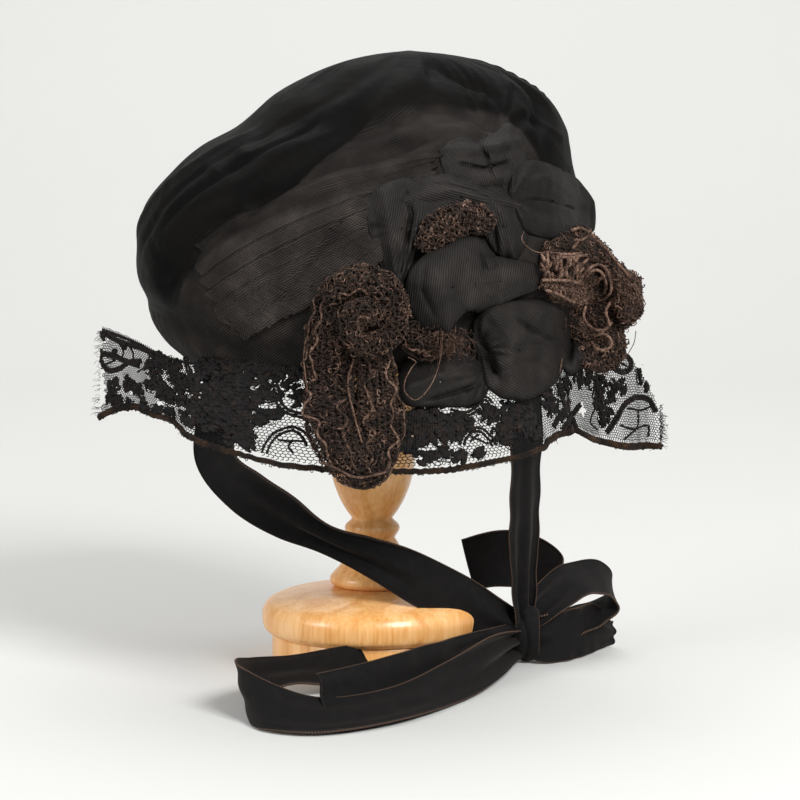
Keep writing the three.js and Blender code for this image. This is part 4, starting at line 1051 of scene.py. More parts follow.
heavy_lines = [
    [(99, 349), (102, 362), (109, 370), (119, 369), (130, 362), (142, 361)],
    [(103, 354), (114, 356), (127, 361), (140, 366)],
    [(104, 332), (119, 341), (138, 347), (153, 353), (166, 357)],
    [(186, 357), (190, 372), (197, 386), (208, 389), (219, 378)],
    [(275, 382), (278, 394), (280, 404), (287, 411), (300, 415), (310, 418)],
    [(265, 453), (268, 444), (274, 436), (285, 430),
     (296, 429), (305, 436), (310, 446)], [(461, 445), (464, 437), (470, 431), (479, 429), (488, 436),
                                           (494, 445)],
    [(438, 407), (453, 402), (470, 405), (485, 398), (491, 404)], [(450, 411), (466, 414), (479, 407)],
    [(612, 363), (616, 356), (624, 355), (631, 361), (629, 370), (620, 372), (613, 367)],
    [(606, 433), (612, 425), (617, 417), (624, 405), (636, 397), (649, 400), (655, 412)],
    [(569, 401), (560, 414), (553, 427)], [(580, 404), (571, 416), (562, 430)],
    [(572, 418), (577, 430), (590, 437)],
    [(248, 392), (262, 396), (278, 398)], [(560, 398), (566, 408), (560, 421)],
]
vein_lines = [
    [(278, 439), (292, 441), (306, 441)], [(292, 441), (288, 447), (294, 453)],
    [(627, 408), (640, 410), (652, 406)],
    [(638, 410), (637, 427), (624, 439)], [(620, 425), (633, 429), (648, 425), (648, 437)],
    [(119, 342), (124, 352), (120, 361)],
    [(130, 346), (134, 356), (131, 365)], [(196, 372), (204, 366), (213, 374)],
    [(275, 385), (284, 392), (292, 385)],
    [(470, 436), (479, 440), (488, 444)], [(107, 364), (116, 360)], [(150, 356), (146, 366), (138, 372)],
    [(612, 359), (627, 366)], [(594, 410), (590, 422), (598, 430)], [(470, 441), (478, 434)],
    [(262, 384), (268, 391)],
]
petal_around, petal_rings = 8, 2
heavy_radius, heavy_gap, vein_radius = 0.80 * mm, 0.85 * mm, 0.60 * mm


def add_petals(bundle, flat, chance):
    """Padded petals: small domes of satin stitch at places on the flat strip, turned every way."""
    around = np.arange(petal_around) * full_turn / petal_around
    rings = np.sin(np.linspace(0, math.pi / 2, petal_rings + 1))[1:]
    circle = np.stack([np.cos(around), np.sin(around)], -1)
    shape = np.concatenate([np.zeros((1, 2)), (rings[:, None, None] * circle).reshape(-1, 2),
                            np.zeros((1, 2))])
    profile = np.sqrt(np.maximum(1 - np.linalg.norm(shape, axis=1) ** 2, 0))
    profile[-1] = -0.3
    angle, size = chance.uniform(0, full_turn, (len(flat), 1)), chance.uniform(0.7, 1.25, (len(flat), 1))
    x, y = shape[:, 0] * size * 1.9 * mm, shape[:, 1] * size * 1.15 * mm
    flat = flat[:, None] + np.stack([x * np.cos(angle) - y * np.sin(angle),
                                     x * np.sin(angle) + y * np.cos(angle)], -1)
    flat[..., 0] = np.clip(flat[..., 0], 0, frill_length * 1.015)
    lift = chance.uniform(0, 1.3, (len(flat), 1)) * mm + profile * size * 1.0 * mm
    lift += 0.5 * x * chance.uniform(-0.8, 0.8, (len(flat), 1))
    points = lace_point(flat, lift)
    inside = np.arange(1, 1 + petal_around * petal_rings).reshape(petal_rings, petal_around)
    after = np.roll(inside, -1, 1)
    caps = [np.stack([np.full(petal_around, centre), row, turned], -1) for centre, row, turned in
            ((0, after[0], inside[0]), (len(shape) - 1, inside[-1], after[-1]))]
    walls = np.concatenate([np.stack([a, c, d, b], -1) for a, b, c, d in
                            zip(inside, inside[1:], after, after[1:])])
    starts = (np.arange(len(flat)) * len(shape))[:, None, None]
    cloth = np.concatenate([flat, np.zeros((*flat.shape[:2], 1))], -1)
    tone = np.clip(chance.normal(0.06, 0.09, (len(flat), 1)), 0, 0.5).repeat(len(shape), 1)
    first = bundle.count
    bundle.add(points, (np.concatenate(caps)[None] + starts).reshape(-1, 3), cloth, tone)
    bundle.faces.append(((walls[None] + starts).reshape(-1, 4) + first, 0))


# %% [markdown]
# ### Lace thread
# Old silk lace is dull black with a brown cast where it has rusted. Cords have a fine twist, which the
# bump draws along each thread. Fuzz and dust make thread rough, so there is no sharp gloss, only sheen.

# %% Thread finishes
twist_spacing = 0.9 * mm


def lace_colour(tree):
    dark = colour_steps(tree, cloudy(tree, 7 * mm, 4.0),
                        ((0.35, "#0c0c0c"), (0.60, "#161515"), (0.80, "#251f1c")))
    rust = colour_steps(tree, cloudy(tree, 3 * mm, 4.0),
                        ((0.35, "#2c1f17"), (0.60, "#43301f"), (0.80, "#6b4a35")))
    return mixed(tree, attribute(tree, "tone", "Fac"), dark, rust)


def thread_height(tree):
    along, around = cloth_axes(tree)
    lean = calc(tree, "MULTIPLY_ADD", around, twist_spacing / 0.01, along)
    twist = waves(tree, lean, twist_spacing)
    return calc(tree, "MULTIPLY_ADD", cloudy(tree, 0.8 * mm, 3.0), 0.9, twist)


lace_thread = finish("rusted_lace_thread", lace_colour, 0.78, thread_height, 0.25 * mm,
                     Specular_IOR_Level=0.2, Sheen_Weight=0.10, Sheen_Roughness=0.5,
                     Sheen_Tint=linear("#68646a"))

# %% [markdown]
# The net is a honeycomb, and each cell brings three of its six sides. Real holes are about a millimetre
# apart, and they are drawn coarser, in thicker thread, so that they show. Torn holes, the ragged left end
# and the torn right corner leave sides out.

# %% Net
net_pitch = 1.6 * mm
net_radius = 0.225 * mm
net_edge = net_pitch / math.sqrt(3)
net_top, net_low = -1.5 * mm, frill_drop - 0.6 * mm
net_holes = table("at down size", """
        57      36     2.0
        77      40     2.2
       112      44     1.6
       236      34     2.6
       278      30     4.0
        30      36     1.6""")
rows_of_cells = int((net_low - net_top) / (1.5 * net_edge))
columns_of_cells = int(frill_length * 1.016 / net_pitch)
i, j = np.meshgrid(np.arange(columns_of_cells), np.arange(rows_of_cells), indexing="ij")
cells = np.stack([net_pitch * (i + 0.5 * (j % 2)), net_top + 1.5 * net_edge * j], -1).reshape(-1, 2)
corners = np.array([(0, net_edge), (net_pitch / 2, net_edge / 2), (net_pitch / 2, -net_edge / 2),
                    (0, -net_edge)])
starts = (cells[:, None] + corners[None, :3]).reshape(-1, 2)
stops = (cells[:, None] + corners[None, 1:]).reshape(-1, 2)
middles = (starts + stops) / 2
keep = np.ones(len(middles), bool)
for hole in net_holes:
    place = np.array([hole["at"], hole["down"]]) * mm
    away = np.linalg.norm(middles - place, axis=1)
    ragged = hole["size"] * mm * (1 + 0.3 * np.sin(5 * np.arctan2(*(middles - place).T)))
    keep &= away > ragged
shown = picture_of(lace_point(middles))
torn_edge = np.interp(shown[:, 0], (611, 612, 625, 640, 650, 657), (0, 340, 352, 370, 388, 405))
keep &= (shown[:, 0] < 612) | (shown[:, 1] > torn_edge + 2 * np.sin(shown[:, 0] * 0.9))
ragged_end = np.interp(shown[:, 1], (331, 340, 348, 362, 386, 400, 416), (103, 108, 98, 101, 105, 106, 96))
keep &= shown[:, 0] > ragged_end + 1.5 * np.sin(shown[:, 1] * 0.8)
wander = lambda flat: flat + 0.25 * mm * np.stack([np.sin(flat[:, 1] * 900), np.sin(flat[:, 0] * 700)], -1)
flat_edges = np.stack([wander(starts[keep]), wander(stops[keep])], 1)
net = Bundle()
add_threads(net, lace_point(flat_edges), lace_normal(flat_edges), net_radius, sides=3)
net_piece = net.build("lace_net", [lace_thread], ["lace_frill"])

# %% Corded motifs
chance = np.random.default_rng(41)
motifs = Bundle()
petals = []
for px, py, radius in lace_lumps:
    centre = strip[strip_tree.find((px, py, 0))[1]]
    count = int(6 + 0.42 * radius**2)
    reach = np.sqrt(chance.uniform(0, 1, count)) * radius * pixel_size
    angle = chance.uniform(0, full_turn, count)
    reach *= 1 + 0.25 * np.sin(angle * 5 + px)
    petals.append(centre + np.stack([np.cos(angle), np.sin(angle)], -1) * reach[:, None])
add_petals(motifs, np.concatenate(petals), chance)
for line in heavy_lines:
    flat = flat_line(line)
    side = unit(np.gradient(flat, axis=0))[:, ::-1] * (1, -1)
    for offset in (-heavy_gap, heavy_gap):
        cord = flat + side * offset
        lift = 0.5 * mm + 0.25 * mm * np.sin(np.arange(len(flat)) * 1.3 + offset)
        uneven = heavy_radius * (1 + 0.2 * np.sin(np.arange(len(flat)) * 2.1 + offset * 9000))
        add_threads(motifs, lace_point(cord, lift)[None], lace_normal(cord)[None], uneven[None], 4,
                    tone=0.12)
for line in vein_lines:
    flat = flat_line(line)
    add_threads(motifs, lace_point(flat, 0.3 * mm)[None], lace_normal(flat)[None], vein_radius, 4, tone=0.1)
curl_turn = np.linspace(0, 1.5 * math.pi, 9)
curl = np.stack([np.cos(curl_turn), np.sin(curl_turn)], -1)
around_lumps = np.concatenate([strip[strip_tree.find((px, py, 0))[1]] + curl[[n % 9]] * radius * pixel_size
                               for n, (px, py, radius) in enumerate(np.repeat(lace_lumps, 4, 0))])
flat = (around_lumps[:, None] + curl[None] * chance.uniform(0.9, 2.4, (len(around_lumps), 1, 1)) * mm
        + chance.uniform(-1.5, 1.5, (len(around_lumps), 1, 2)) * mm)
flat[..., 0] = np.clip(flat[..., 0], 0, frill_length * 1.013)
add_threads(motifs, lace_point(flat, chance.uniform(0, 1.2, (len(flat), 1)) * mm), lace_normal(flat),
            0.27 * mm, 3,
            tone=chance.uniform(0, 0.4, (len(flat), 1)))
motif_piece = motifs.build("lace_motifs", [lace_thread])

# %% [markdown]
# ### Edges of the frill
# The lower edge is bound with a flat brown braid, which three twisted plies stand for, and small loops of
# thread, the picots, stick out of it. The upper edge is a plain cord sewn to the rim. At both free ends
# the net has torn, and loose threads hang out.

# %% Binding and frayed ends
binding_radius = 0.85 * mm
ply_turn = 3.4 * mm
picot_spacing = 2.7 * mm
edge_steps = 620
along = np.linspace(0, 1.012, edge_steps)
edge_flat = np.stack([along * frill_length, np.full(edge_steps, frill_drop + 0.9 * mm)], -1)
edge_line, edge_normal = lace_point(edge_flat), lace_normal(edge_flat)
edge_down = unit(lace_point(edge_flat + (0, 1 * mm)) - edge_line)
run = run_of(edge_line)
binding = Bundle()
for ply in range(3):
    angle = full_turn * (run / ply_turn + ply / 3)
    wide, thick = binding_radius * (1.5 + 0.2 * np.sin(run * 90)), binding_radius * 0.7
    path = edge_line + edge_down * (wide * np.cos(angle))[:, None]
    path = path + edge_normal * (thick * np.sin(angle))[:, None]
    add_threads(binding, path[None], edge_normal[None], binding_radius * 0.8, 4,
                tone=0.5 + 0.3 * np.sin(run * 300))
picots = []
for n in range(int(run[-1] / picot_spacing)):
    k = int(np.searchsorted(run, (n + chance.uniform(0.2, 0.8)) * picot_spacing))
    if k < edge_steps - 2 and chance.random() < 0.75:
        t = np.linspace(0, math.pi, 7)
        side = unit(edge_line[k + 1] - edge_line[k])
        reach = chance.uniform(0.6, 1.5) * mm
        sway = np.outer(np.sin(t * 2), edge_normal[k]) * chance.uniform(-0.5, 0.5) * mm
        loop = (edge_line[k] + np.outer(np.cos(t), side) * 0.7 * mm
                + np.outer(np.sin(t), edge_down[k]) * reach + edge_down[k] * 0.9 * mm + sway)
        picots.append(loop)
add_threads(binding, np.array(picots), (0.3, -1, 0.2), 0.2 * mm, 4, tone=0.4)
binding_piece = binding.build("braid_binding", [lace_thread], ["frill_binding"])


def hair(start, direction, length, droop, chance):
    """A loose thread: it leaves a place in one direction, wanders and droops."""
    t = np.linspace(0, 1, 6)[:, None]
    aside = unit(np.cross(direction, chance.normal(size=3)))
    drop = t**2 * droop * length * np.array([0, 0, 1])
    path = np.asarray(start) + t * length * np.asarray(direction) - drop
    return path + aside * np.sin(t * chance.uniform(3, 8)) * length * t / 4


frays = []
for along_at, outward in ((0.0, -1), (1.012, 1)):
    for n in range(70):
        down = chance.uniform(0 if outward < 0 else 0.62, 1.02)
        flat = np.array([[along_at * frill_length, down * frill_drop]])
        direction = unit(np.array([outward, chance.uniform(-0.4, 0.4), chance.uniform(-0.8, 0.8)]))
        frays.append(hair(lace_point(flat)[0], direction, chance.uniform(1, 4.5) * mm, 0.2, chance))
for n in range(90):
    flat = np.array([[chance.uniform(0, frill_length), chance.choice([0.0, 1.03]) * frill_drop]])
    direction = unit(np.array([chance.uniform(-1, 1), chance.uniform(-1, 0), chance.uniform(-0.8, 0.5)]))
    frays.append(hair(lace_point(flat)[0], direction, chance.uniform(1, 3.5) * mm, 0.3, chance))
fray = Bundle()
add_threads(fray, np.array(frays), (0.2, -1, 0.1), 0.11 * mm, 3, tone=0.3)
top_flat = np.stack([along * frill_length, np.full(edge_steps, -0.6 * mm)], -1)
top_flat = top_flat[picture_of(lace_point(top_flat))[:, 0] < 612]
for offset in (-0.5, 0.5):
    path = lace_point(top_flat + (0, offset * mm), 0.2 * mm)
    add_threads(fray, path[None], lace_normal(top_flat)[None], 0.42 * mm, 4, tone=0.1)
top_piece = fray.build("lace_top_cord", [lace_thread])

# %% [markdown]
# ## Velvet ribbon
# The ties are cotton-backed silk velvet ribbon, an inch wide, with a brown woven edge. Pile shows no
# gloss: it is darkest face on and pale at grazing angles, which is what the sheen term does. A ribbon is
# a path, a direction across it and a width. Where it is gathered into the knot its width shrinks but the
# cloth doesn't, so the missing width goes into small lengthwise folds.

# %% Velvet and selvedge finishes
pile_size = 0.5 * mm
bead_spacing = 1.5 * mm


def velvet_colour(tree):
    pile = colour_steps(tree, cloudy(tree, 5 * mm, 5.0),
                        ((0.35, "#070606"), (0.60, "#0d0b0b"), (0.80, "#161211")))
    back = colour_steps(tree, cloudy(tree, 4 * mm, 4.0), ((0.30, "#1d1815"), (0.70, "#2c2420")))
    return mixed(tree, attribute(tree, "tone", "Fac"), pile, back)


def velvet_height(tree):
    return cloudy(tree, pile_size, 2.0)


pile_velvet = finish("pile_velvet", velvet_colour, 0.82, velvet_height, 0.2 * mm, Specular_IOR_Level=0.2,
                     Sheen_Weight=0.30, Sheen_Roughness=0.38, Sheen_Tint=linear("#7d736c"))


def selvedge_colour(tree):
    along, around = cloth_axes(tree)
    beads = waves(tree, along, bead_spacing)
    return colour_steps(tree, beads, ((0.15, "#1d1611"), (0.5, "#44342a"), (0.9, "#6f5747")))


def selvedge_height(tree):
    along, around = cloth_axes(tree)
    return waves(tree, along, bead_spacing)


woven_selvedge = finish("woven_selvedge", selvedge_colour, 0.8, selvedge_height, 0.4 * mm,
                        Specular_IOR_Level=0.2)

# %% Ribbon routes
ribbon_width = 27 * mm
ribbon_thickness = 0.9 * mm
selvedge_radius = 0.5 * mm
knot_length, knot_height, knot_depth = 16 * mm, 31 * mm, 22 * mm
knot_low, knot_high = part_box("bow_knot")
knot_middle = np.array((knot_low + knot_high) / 2)
bow_reach = 150 * mm
ribbon_wall = 1.2 * mm
cloth_gap = 0.3 * mm
floor_gap = 0.3 * mm


route = "x y z ax ay az width"
tie_left_rows = table(route, """
    0.000  0.000 0.000  0.73 -0.68 0.00  1.00
   -0.010  0.040 0.160  0.75 -0.66 0.00  1.00
   -0.030 -0.020 0.340  0.74 -0.60 0.30  1.00
    0.070 -0.060 0.450  0.64 -0.40 0.66  0.98
    0.200  0.030 0.540  0.44 -0.35 0.83  0.88
    0.330  0.170 0.620  0.25 -0.40 0.88  0.62
    0.470  0.320 0.690  0.12 -0.10 0.98  0.75
    0.620  0.400 0.765  0.10  0.10 0.99  0.98
    0.790  0.600 0.865  0.12  0.10 0.98  1.00
    0.920  0.850 0.955  0.15  0.05 0.98  0.86
    1.000  1.000 1.000  0.10  0.05 0.99  0.66""")
tie_right_rows = table(route, """
    0.00 0.000 0.000  0.45 0.89 0.00  1.00
    0.10 0.060 0.140  0.50 0.86 0.00  1.00
    0.60 0.200 0.320  0.58 0.81 0.00  1.00
    1.20 0.400 0.520  0.62 0.78 0.00  0.96
    1.90 0.620 0.680  0.64 0.76 0.00  0.86
    2.10 0.820 0.820  0.64 0.76 0.00  0.74
    1.30 1.000 1.000  0.64 0.76 0.00  0.60""")
bow_loop_left_rows = table(route, """
    0.000  0.000  0.000   0.00 0.05 1.00  0.62
   -0.100 -0.060 -0.006   0.05 0.45 0.85  0.85
   -0.250 -0.130 -0.020   0.05 0.70 0.70  0.95
   -0.420 -0.250 -0.036   0.02 0.75 0.66  0.98
   -0.600 -0.420 -0.034   0.00 0.80 0.60  0.98
   -0.790 -0.560 -0.020  -0.10 0.93 0.35  0.98
   -0.900 -0.720 -0.010  -0.35 0.80 0.50  0.98
   -0.940 -0.900 -0.012  -0.20 0.20 0.96  0.98
   -0.860 -1.040 -0.030   0.00 0.70 0.71  0.98
   -0.680 -1.080 -0.057   0.00 0.91 0.42  0.98
   -0.450 -0.920 -0.057  -0.10 0.90 0.42  0.98
   -0.240 -0.580 -0.046  -0.20 0.75 0.62  0.98
   -0.110 -0.300 -0.024  -0.10 0.40 0.90  0.80
   -0.020 -0.040 -0.030   0.00 0.05 1.00  0.50""")
bow_tail_left_rows = table(route, """
   -0.030 -0.010 -0.010   0.00 0.05 1.00  0.50
   -0.160 -0.280 -0.015  -0.05 0.10 0.99  0.80
   -0.330 -0.580 -0.018  -0.10 0.15 0.98  0.96
   -0.520 -0.850 -0.020  -0.15 0.25 0.95  0.96
   -0.680 -1.030 -0.020  -0.15 0.30 0.93  0.96""")
bow_loop_right_rows = table(route, """
    0.000 0.010  0.030  -0.10 0.60 0.79  0.55
    0.090 0.060  0.110  -0.35 0.72 0.60  0.90
    0.190 0.130  0.165  -0.30 0.80 0.52  1.00
    0.290 0.200  0.160  -0.10 0.86 0.50  1.00
    0.335 0.230  0.105  -0.05 0.90 0.43  1.00
    0.300 0.210  0.050   0.10 0.90 0.43  1.00
    0.210 0.160  0.020   0.10 0.86 0.50  0.95
    0.100 0.080 -0.010   0.05 0.70 0.70  0.80
    0.000 0.020 -0.010   0.00 0.50 0.86  0.50""")
bow_tail_right_rows = table(route, """
    0.000  0.000 -0.020   0.00 0.20 0.98  0.60
    0.080 -0.010 -0.018   0.05 0.25 0.97  0.92
    0.170  0.050 -0.014   0.05 0.25 0.97  0.98
    0.260  0.160 -0.010   0.05 0.20 0.98  0.98
    0.345  0.290 -0.010   0.10 0.15 0.98  0.94""")
bow_tail_frayed_rows = table(route, """
    0.010 0.030 0.020   0.10 0.30 0.95  0.55
    0.080 0.170 0.090   0.30 0.20 0.93  0.85
    0.110 0.250 0.150   0.45 0.20 0.87  1.00
    0.030 0.290 0.205   0.10 0.15 0.98  1.10
   -0.080 0.270 0.220  -0.05 0.10 0.99  1.10
   -0.190 0.230 0.205  -0.25 0.10 0.96  1.00""")


def between(start, end):
    return lambda places: start + (end - start) * places


def from_knot(places):
    return knot_middle + places * bow_reach


# %% Ribbon builder
ribbon_bands = 17
ribbon_spacing = 2.0 * mm


def ribbon_grid(rows, place, curl=1.5 * mm, gather_folds=2, seed=0, point=0.0):
    """The ribbon's middle surface: places along it, and a cross section that curls and gathers."""
    read = lambda column, at: read_rows(rows, "along", column, at)
    rough = place(np.stack([read(c, np.linspace(0, 1, 80)) for c in "xyz"], -1))
    length = np.linalg.norm(np.diff(rough, axis=0), axis=1).sum()
    steps = int(length / ribbon_spacing)
    at = np.linspace(0, 1, steps)
    middle = place(np.stack([read(c, at) for c in "xyz"], -1))
    across = unit(np.stack([read(c, at) for c in ("ax", "ay", "az")], -1))
    along = unit(np.gradient(middle, axis=0))
    normal = unit(np.cross(along, across))
    width = read("width", at)
    side = np.linspace(-1, 1, ribbon_bands)
    spare = np.sqrt(np.clip(1 - width, 0, 1))
    folds = np.sin(side[None] * math.pi * gather_folds + 0.6) * spare[:, None] * 3.6 * mm
    cup = curl * ((side**2)[None] - 0.4) * np.sin(at * 5 + seed)[:, None]
    wave = 0.9 * mm * ripples(at, range(2, 9), seed + 60)[:, None] * side[None]
    grid = middle[:, None] + across[:, None] * (side[None] * width[:, None] * ribbon_width / 2)[..., None]
    grid = grid + normal[:, None] * (folds + cup + wave)[..., None]
    if point:
        pull = smooth_step(1 - point, 1, at)[:, None] * (side[None] + 1) / 2
        grid = grid + across[:, None] * (-pull * 0.5 * ribbon_width)[..., None]
    grid[..., 2] = np.maximum(grid[..., 2], floor_gap + ribbon_thickness / 2)
    return grid, length


def make_ribbon(name, node, rows, place, **shape):
    """Velvet with a beaded selvedge along each edge. Its length is kept in ribbon_lengths."""
    ribbon = Bundle()
    grid, ribbon_lengths[name] = ribbon_grid(rows, place, **shape)
    add_cloth(ribbon, grid, ribbon_thickness)
    normals = grid_normals(grid)
    for edge in (0, -1):
        line = grid[:, edge]
        line = np.stack([line[:, 0], line[:, 1], np.maximum(line[:, 2], selvedge_radius + 0.1 * mm)], -1)
        add_threads(ribbon, line[None], normals[None, :, edge], selvedge_radius, 5, finish_index=1)
    return ribbon.build(name, [pile_velvet, woven_selvedge], [node])


ribbon_lengths = {}
tie_inset = -crown_wall - cloth_gap - 2 * ribbon_wall
tie_rise = 0.03


def tie_seat(turn):
    """Where a tie is sewn in, inside the crown just above its rim."""
    turn = np.array(turn)
    return crown_base(turn, tie_rise) + crown_normal(turn, tie_rise) * (tie_inset - 2 * mm)


ribbons = {name: make_ribbon(name, node, rows, place, seed=seed, **shape) for name, node, rows, place, seed,
           shape in (
    ("velvet_tie_left", "tie_left", tie_left_rows, between(tie_seat(-0.125), knot_middle), 1, {}),
    ("velvet_tie_right", "tie_right", tie_right_rows, between(tie_seat(0.18), knot_middle), 2, {}),
    ("bow_left_loop", "bow_loop_left", bow_loop_left_rows, from_knot, 3, {}),
    ("bow_left_tail", "bow_tail_left", bow_tail_left_rows, from_knot, 4, {}),
    ("bow_right_loop", "bow_loop_right", bow_loop_right_rows, from_knot, 5, {}),
    ("bow_right_tail", "bow_tail_right", bow_tail_right_rows, from_knot, 6, {"point": 0.3}),
    ("bow_frayed_tail", "bow_tail_frayed", bow_tail_frayed_rows, from_knot, 7, {}),
)}

# %% [markdown]
# The knot is the same ribbon wrapped once round the gathered middle of the bow, crossed by two soft
# creases where it is pulled tight.

# %% Knot
knot_around, knot_across = 48, 24
a = np.arange(knot_around) * full_turn / knot_around
s = np.linspace(-1, 1, knot_across)
bulge = 1 - 0.20 * np.abs(s)**2.4
angle, side = np.meshgrid(a, s, indexing="ij")
swell = bulge[None] * (1 + 0.035 * ripples(angle / full_turn, range(1, 6), 71)
                       - 0.10 * np.exp(-((side - 0.25 * np.sin(angle * 2 + 1)) / 0.16)**2)
                       - 0.07 * np.exp(-((side + 0.45 + 0.2 * np.sin(angle * 2)) / 0.12)**2))
knot_grid = knot_middle + np.stack([
    side * knot_length / 2,
    (knot_depth / 2 - ribbon_thickness) * swell * np.cos(angle),
    (knot_height / 2 - ribbon_thickness) * swell * np.sin(angle),
], -1)
knot = Bundle()
add_cloth(knot, knot_grid, ribbon_thickness, ring=True)
for end in (0, -1):
    add_threads(knot, knot_grid[None, :, end], (1, 0, 0), selvedge_radius, 6, finish_index=1, closed=True)
knot_piece = knot.build("bow_wrap", [pile_velvet, woven_selvedge], ["bow_knot"])

# %% [markdown]
# ## Trim of silk
# At the front right the silk is bunched into puffs and one ribbed bow-like loop. Each is a loose sheet
# with its edges tucked in. A cloth simulation could pin it up, but its outline is known only from the
# picture. So each is drawn where it is seen there, with the millimetres that it lifts off the crown, and
# a ray from the camera finds the crown under each place.

# %% Places on the crown
def surface_tree(*grids, rings):
    """A tree of one or more grids of points, which rays can be cast against."""
    points, faces, count = [], [], 0
    for grid, ring in zip(grids, rings):
        points += [tuple(p) for p in grid.reshape(-1, 3)]
        faces += [tuple(f + count) for f in grid_faces(*grid.shape[:2], ring_rows=ring)]
        count = len(points)
    return BVHTree.FromPolygons(points, faces)


frill_reach = 1.5
behind_along, behind_down = np.meshgrid(np.linspace(0, 1, 160), np.linspace(0, frill_reach, 12),
                                        indexing="ij")
crown_tree = surface_tree(outer, rings=(True,))
front_tree = surface_tree(outer, frill_point(behind_along, behind_down), rings=(True, False))


def picture_place(px, py, lift, tree=crown_tree):
    """The place over the crown that shows at a pixel, lifted towards the camera by millimetres.
    Beside the crown it is as far off as the crown's nearest edge."""
    ray = picture_ray(px, py)
    start = Vector(camera_place)
    hit = tree.ray_cast(start, ray)
    if hit[0] is not None:
        return np.array(hit[0] - ray * lift * mm)
    reaches = np.linspace(1.36, 1.62, 40)
    gaps = [tree.find_nearest(start + ray * reach)[3] for reach in reaches]
    return np.array(start + ray * (reaches[int(np.argmin(gaps))] - lift * mm))


# %% [markdown]
# The distance from the camera to the crown is read once on a coarse lattice over the trim and smoothed,
# so that the sheets above it don't repeat every crease of the cloth under them.

# %% Smooth distances under the trim
lattice_px, lattice_py, lattice_step = 360, 100, 10
lattice_columns, lattice_rows = 32, 34
reach_lattice = np.array([[
    np.linalg.norm(picture_place(lattice_px + i * lattice_step, lattice_py + j * lattice_step, 0,
                                 front_tree) - camera_place)
    for j in range(lattice_rows)] for i in range(lattice_columns)])
for _ in range(3):
    wide = np.pad(reach_lattice, 1, mode="edge")
    beside = wide[:-2, 1:-1] + wide[2:, 1:-1] + wide[1:-1, :-2] + wide[1:-1, 2:]
    reach_lattice = (beside + 2 * reach_lattice) / 6


def picture_places(px, py, lift):
    """Places over the trim for whole arrays of pixels, lifted towards the camera by metres."""
    x = np.clip((px - lattice_px) / lattice_step, 0, lattice_columns - 1.001)
    y = np.clip((py - lattice_py) / lattice_step, 0, lattice_rows - 1.001)
    i, j = x.astype(int), y.astype(int)
    fx, fy = x - i, y - j
    reach = ((reach_lattice[i, j] * (1 - fx) + reach_lattice[i + 1, j] * fx) * (1 - fy)
             + (reach_lattice[i, j + 1] * (1 - fx) + reach_lattice[i + 1, j + 1] * fx) * fy)
    right = (px - picture_width_px / 2) / camera_focal_px
    up = (picture_width_px / 2 - py) / camera_focal_px
    c, s = math.cos(camera_down), math.sin(camera_down)
    rays = unit(np.stack([right, c + up * s, up * c - s], -1))
    return camera_place + rays * (reach - lift)[..., None]


# %% [markdown]
# ### Puffs and folds
# A puff is an outline filled with rings of places. Its edge is tucked under, so the sheet rises steeply
# from the outline and is nearly flat on top. Folds are lines in the picture with the crown's profiles, and
# with one more: a tent has two flat slopes that meet in a sharp top, as stiff satin does. Flat facets and
# fans of pleats crumple the rest. The ribs of a ribbed silk run straight over the sheet.

# %% Puff builder
pixel_mm = 1 / 1.957
puff_spokes, puff_rings = 96, 30


def line_lift(folds, px, py):
    """How far folds drawn in the picture lift each place, in metres. A tent has straight, even sides."""
    lift = np.zeros(np.shape(px))
    for kind, depth, width, line in folds:
        nearest, signed, share = nearest_on(line, px, py)
        if kind == "tent":
            lift += depth * mm * (np.sqrt(np.maximum(1 - nearest / width, 0) ** 2 + 0.0025) - 0.05)
        else:
            ends = smooth_step(-0.02, 0.25, share) * smooth_step(-0.02, 0.25, 1 - share)
            lift += depth * mm * fold_profile(kind, nearest, signed, width, 1.5) * ends
    return lift


def crushed(px, py, seed):
    """Flat facets that meet in sharp lines, between about -1 and 1."""
    chance = np.random.default_rng(seed)
    total = np.zeros(np.shape(px))
    for size in (46, 30, 19, 12):
        lean = chance.uniform(0, math.pi)
        wobble = 0.35 * np.sin(px / size * 0.7 + chance.uniform(0, 6))
        at = (px * math.cos(lean) + py * math.sin(lean)) / size + wobble
        total += sharp_waves(at, chance.integers(1e6), size / 46)
    return total / 1.6


def fan_lift(fans, px, py, seed):
    """Sharp pleats that fan from where the cloth is caught: place, pleats in a turn, depth and reach."""
    lift = np.zeros(np.shape(px))
    for n, (x, y, count, depth, reach) in enumerate(fans):
        away = np.hypot(px - x, py - y)
        angle = np.arctan2(py - y, px - x) / full_turn
        uneven = angle + 0.03 * ripples(angle, range(1, 6), seed + n + 50)
        lift += depth * mm * sharp_waves(uneven * count,
                                         seed + n + 40) * np.exp(-away / reach) * smooth_step(0, 6, away)
    return lift


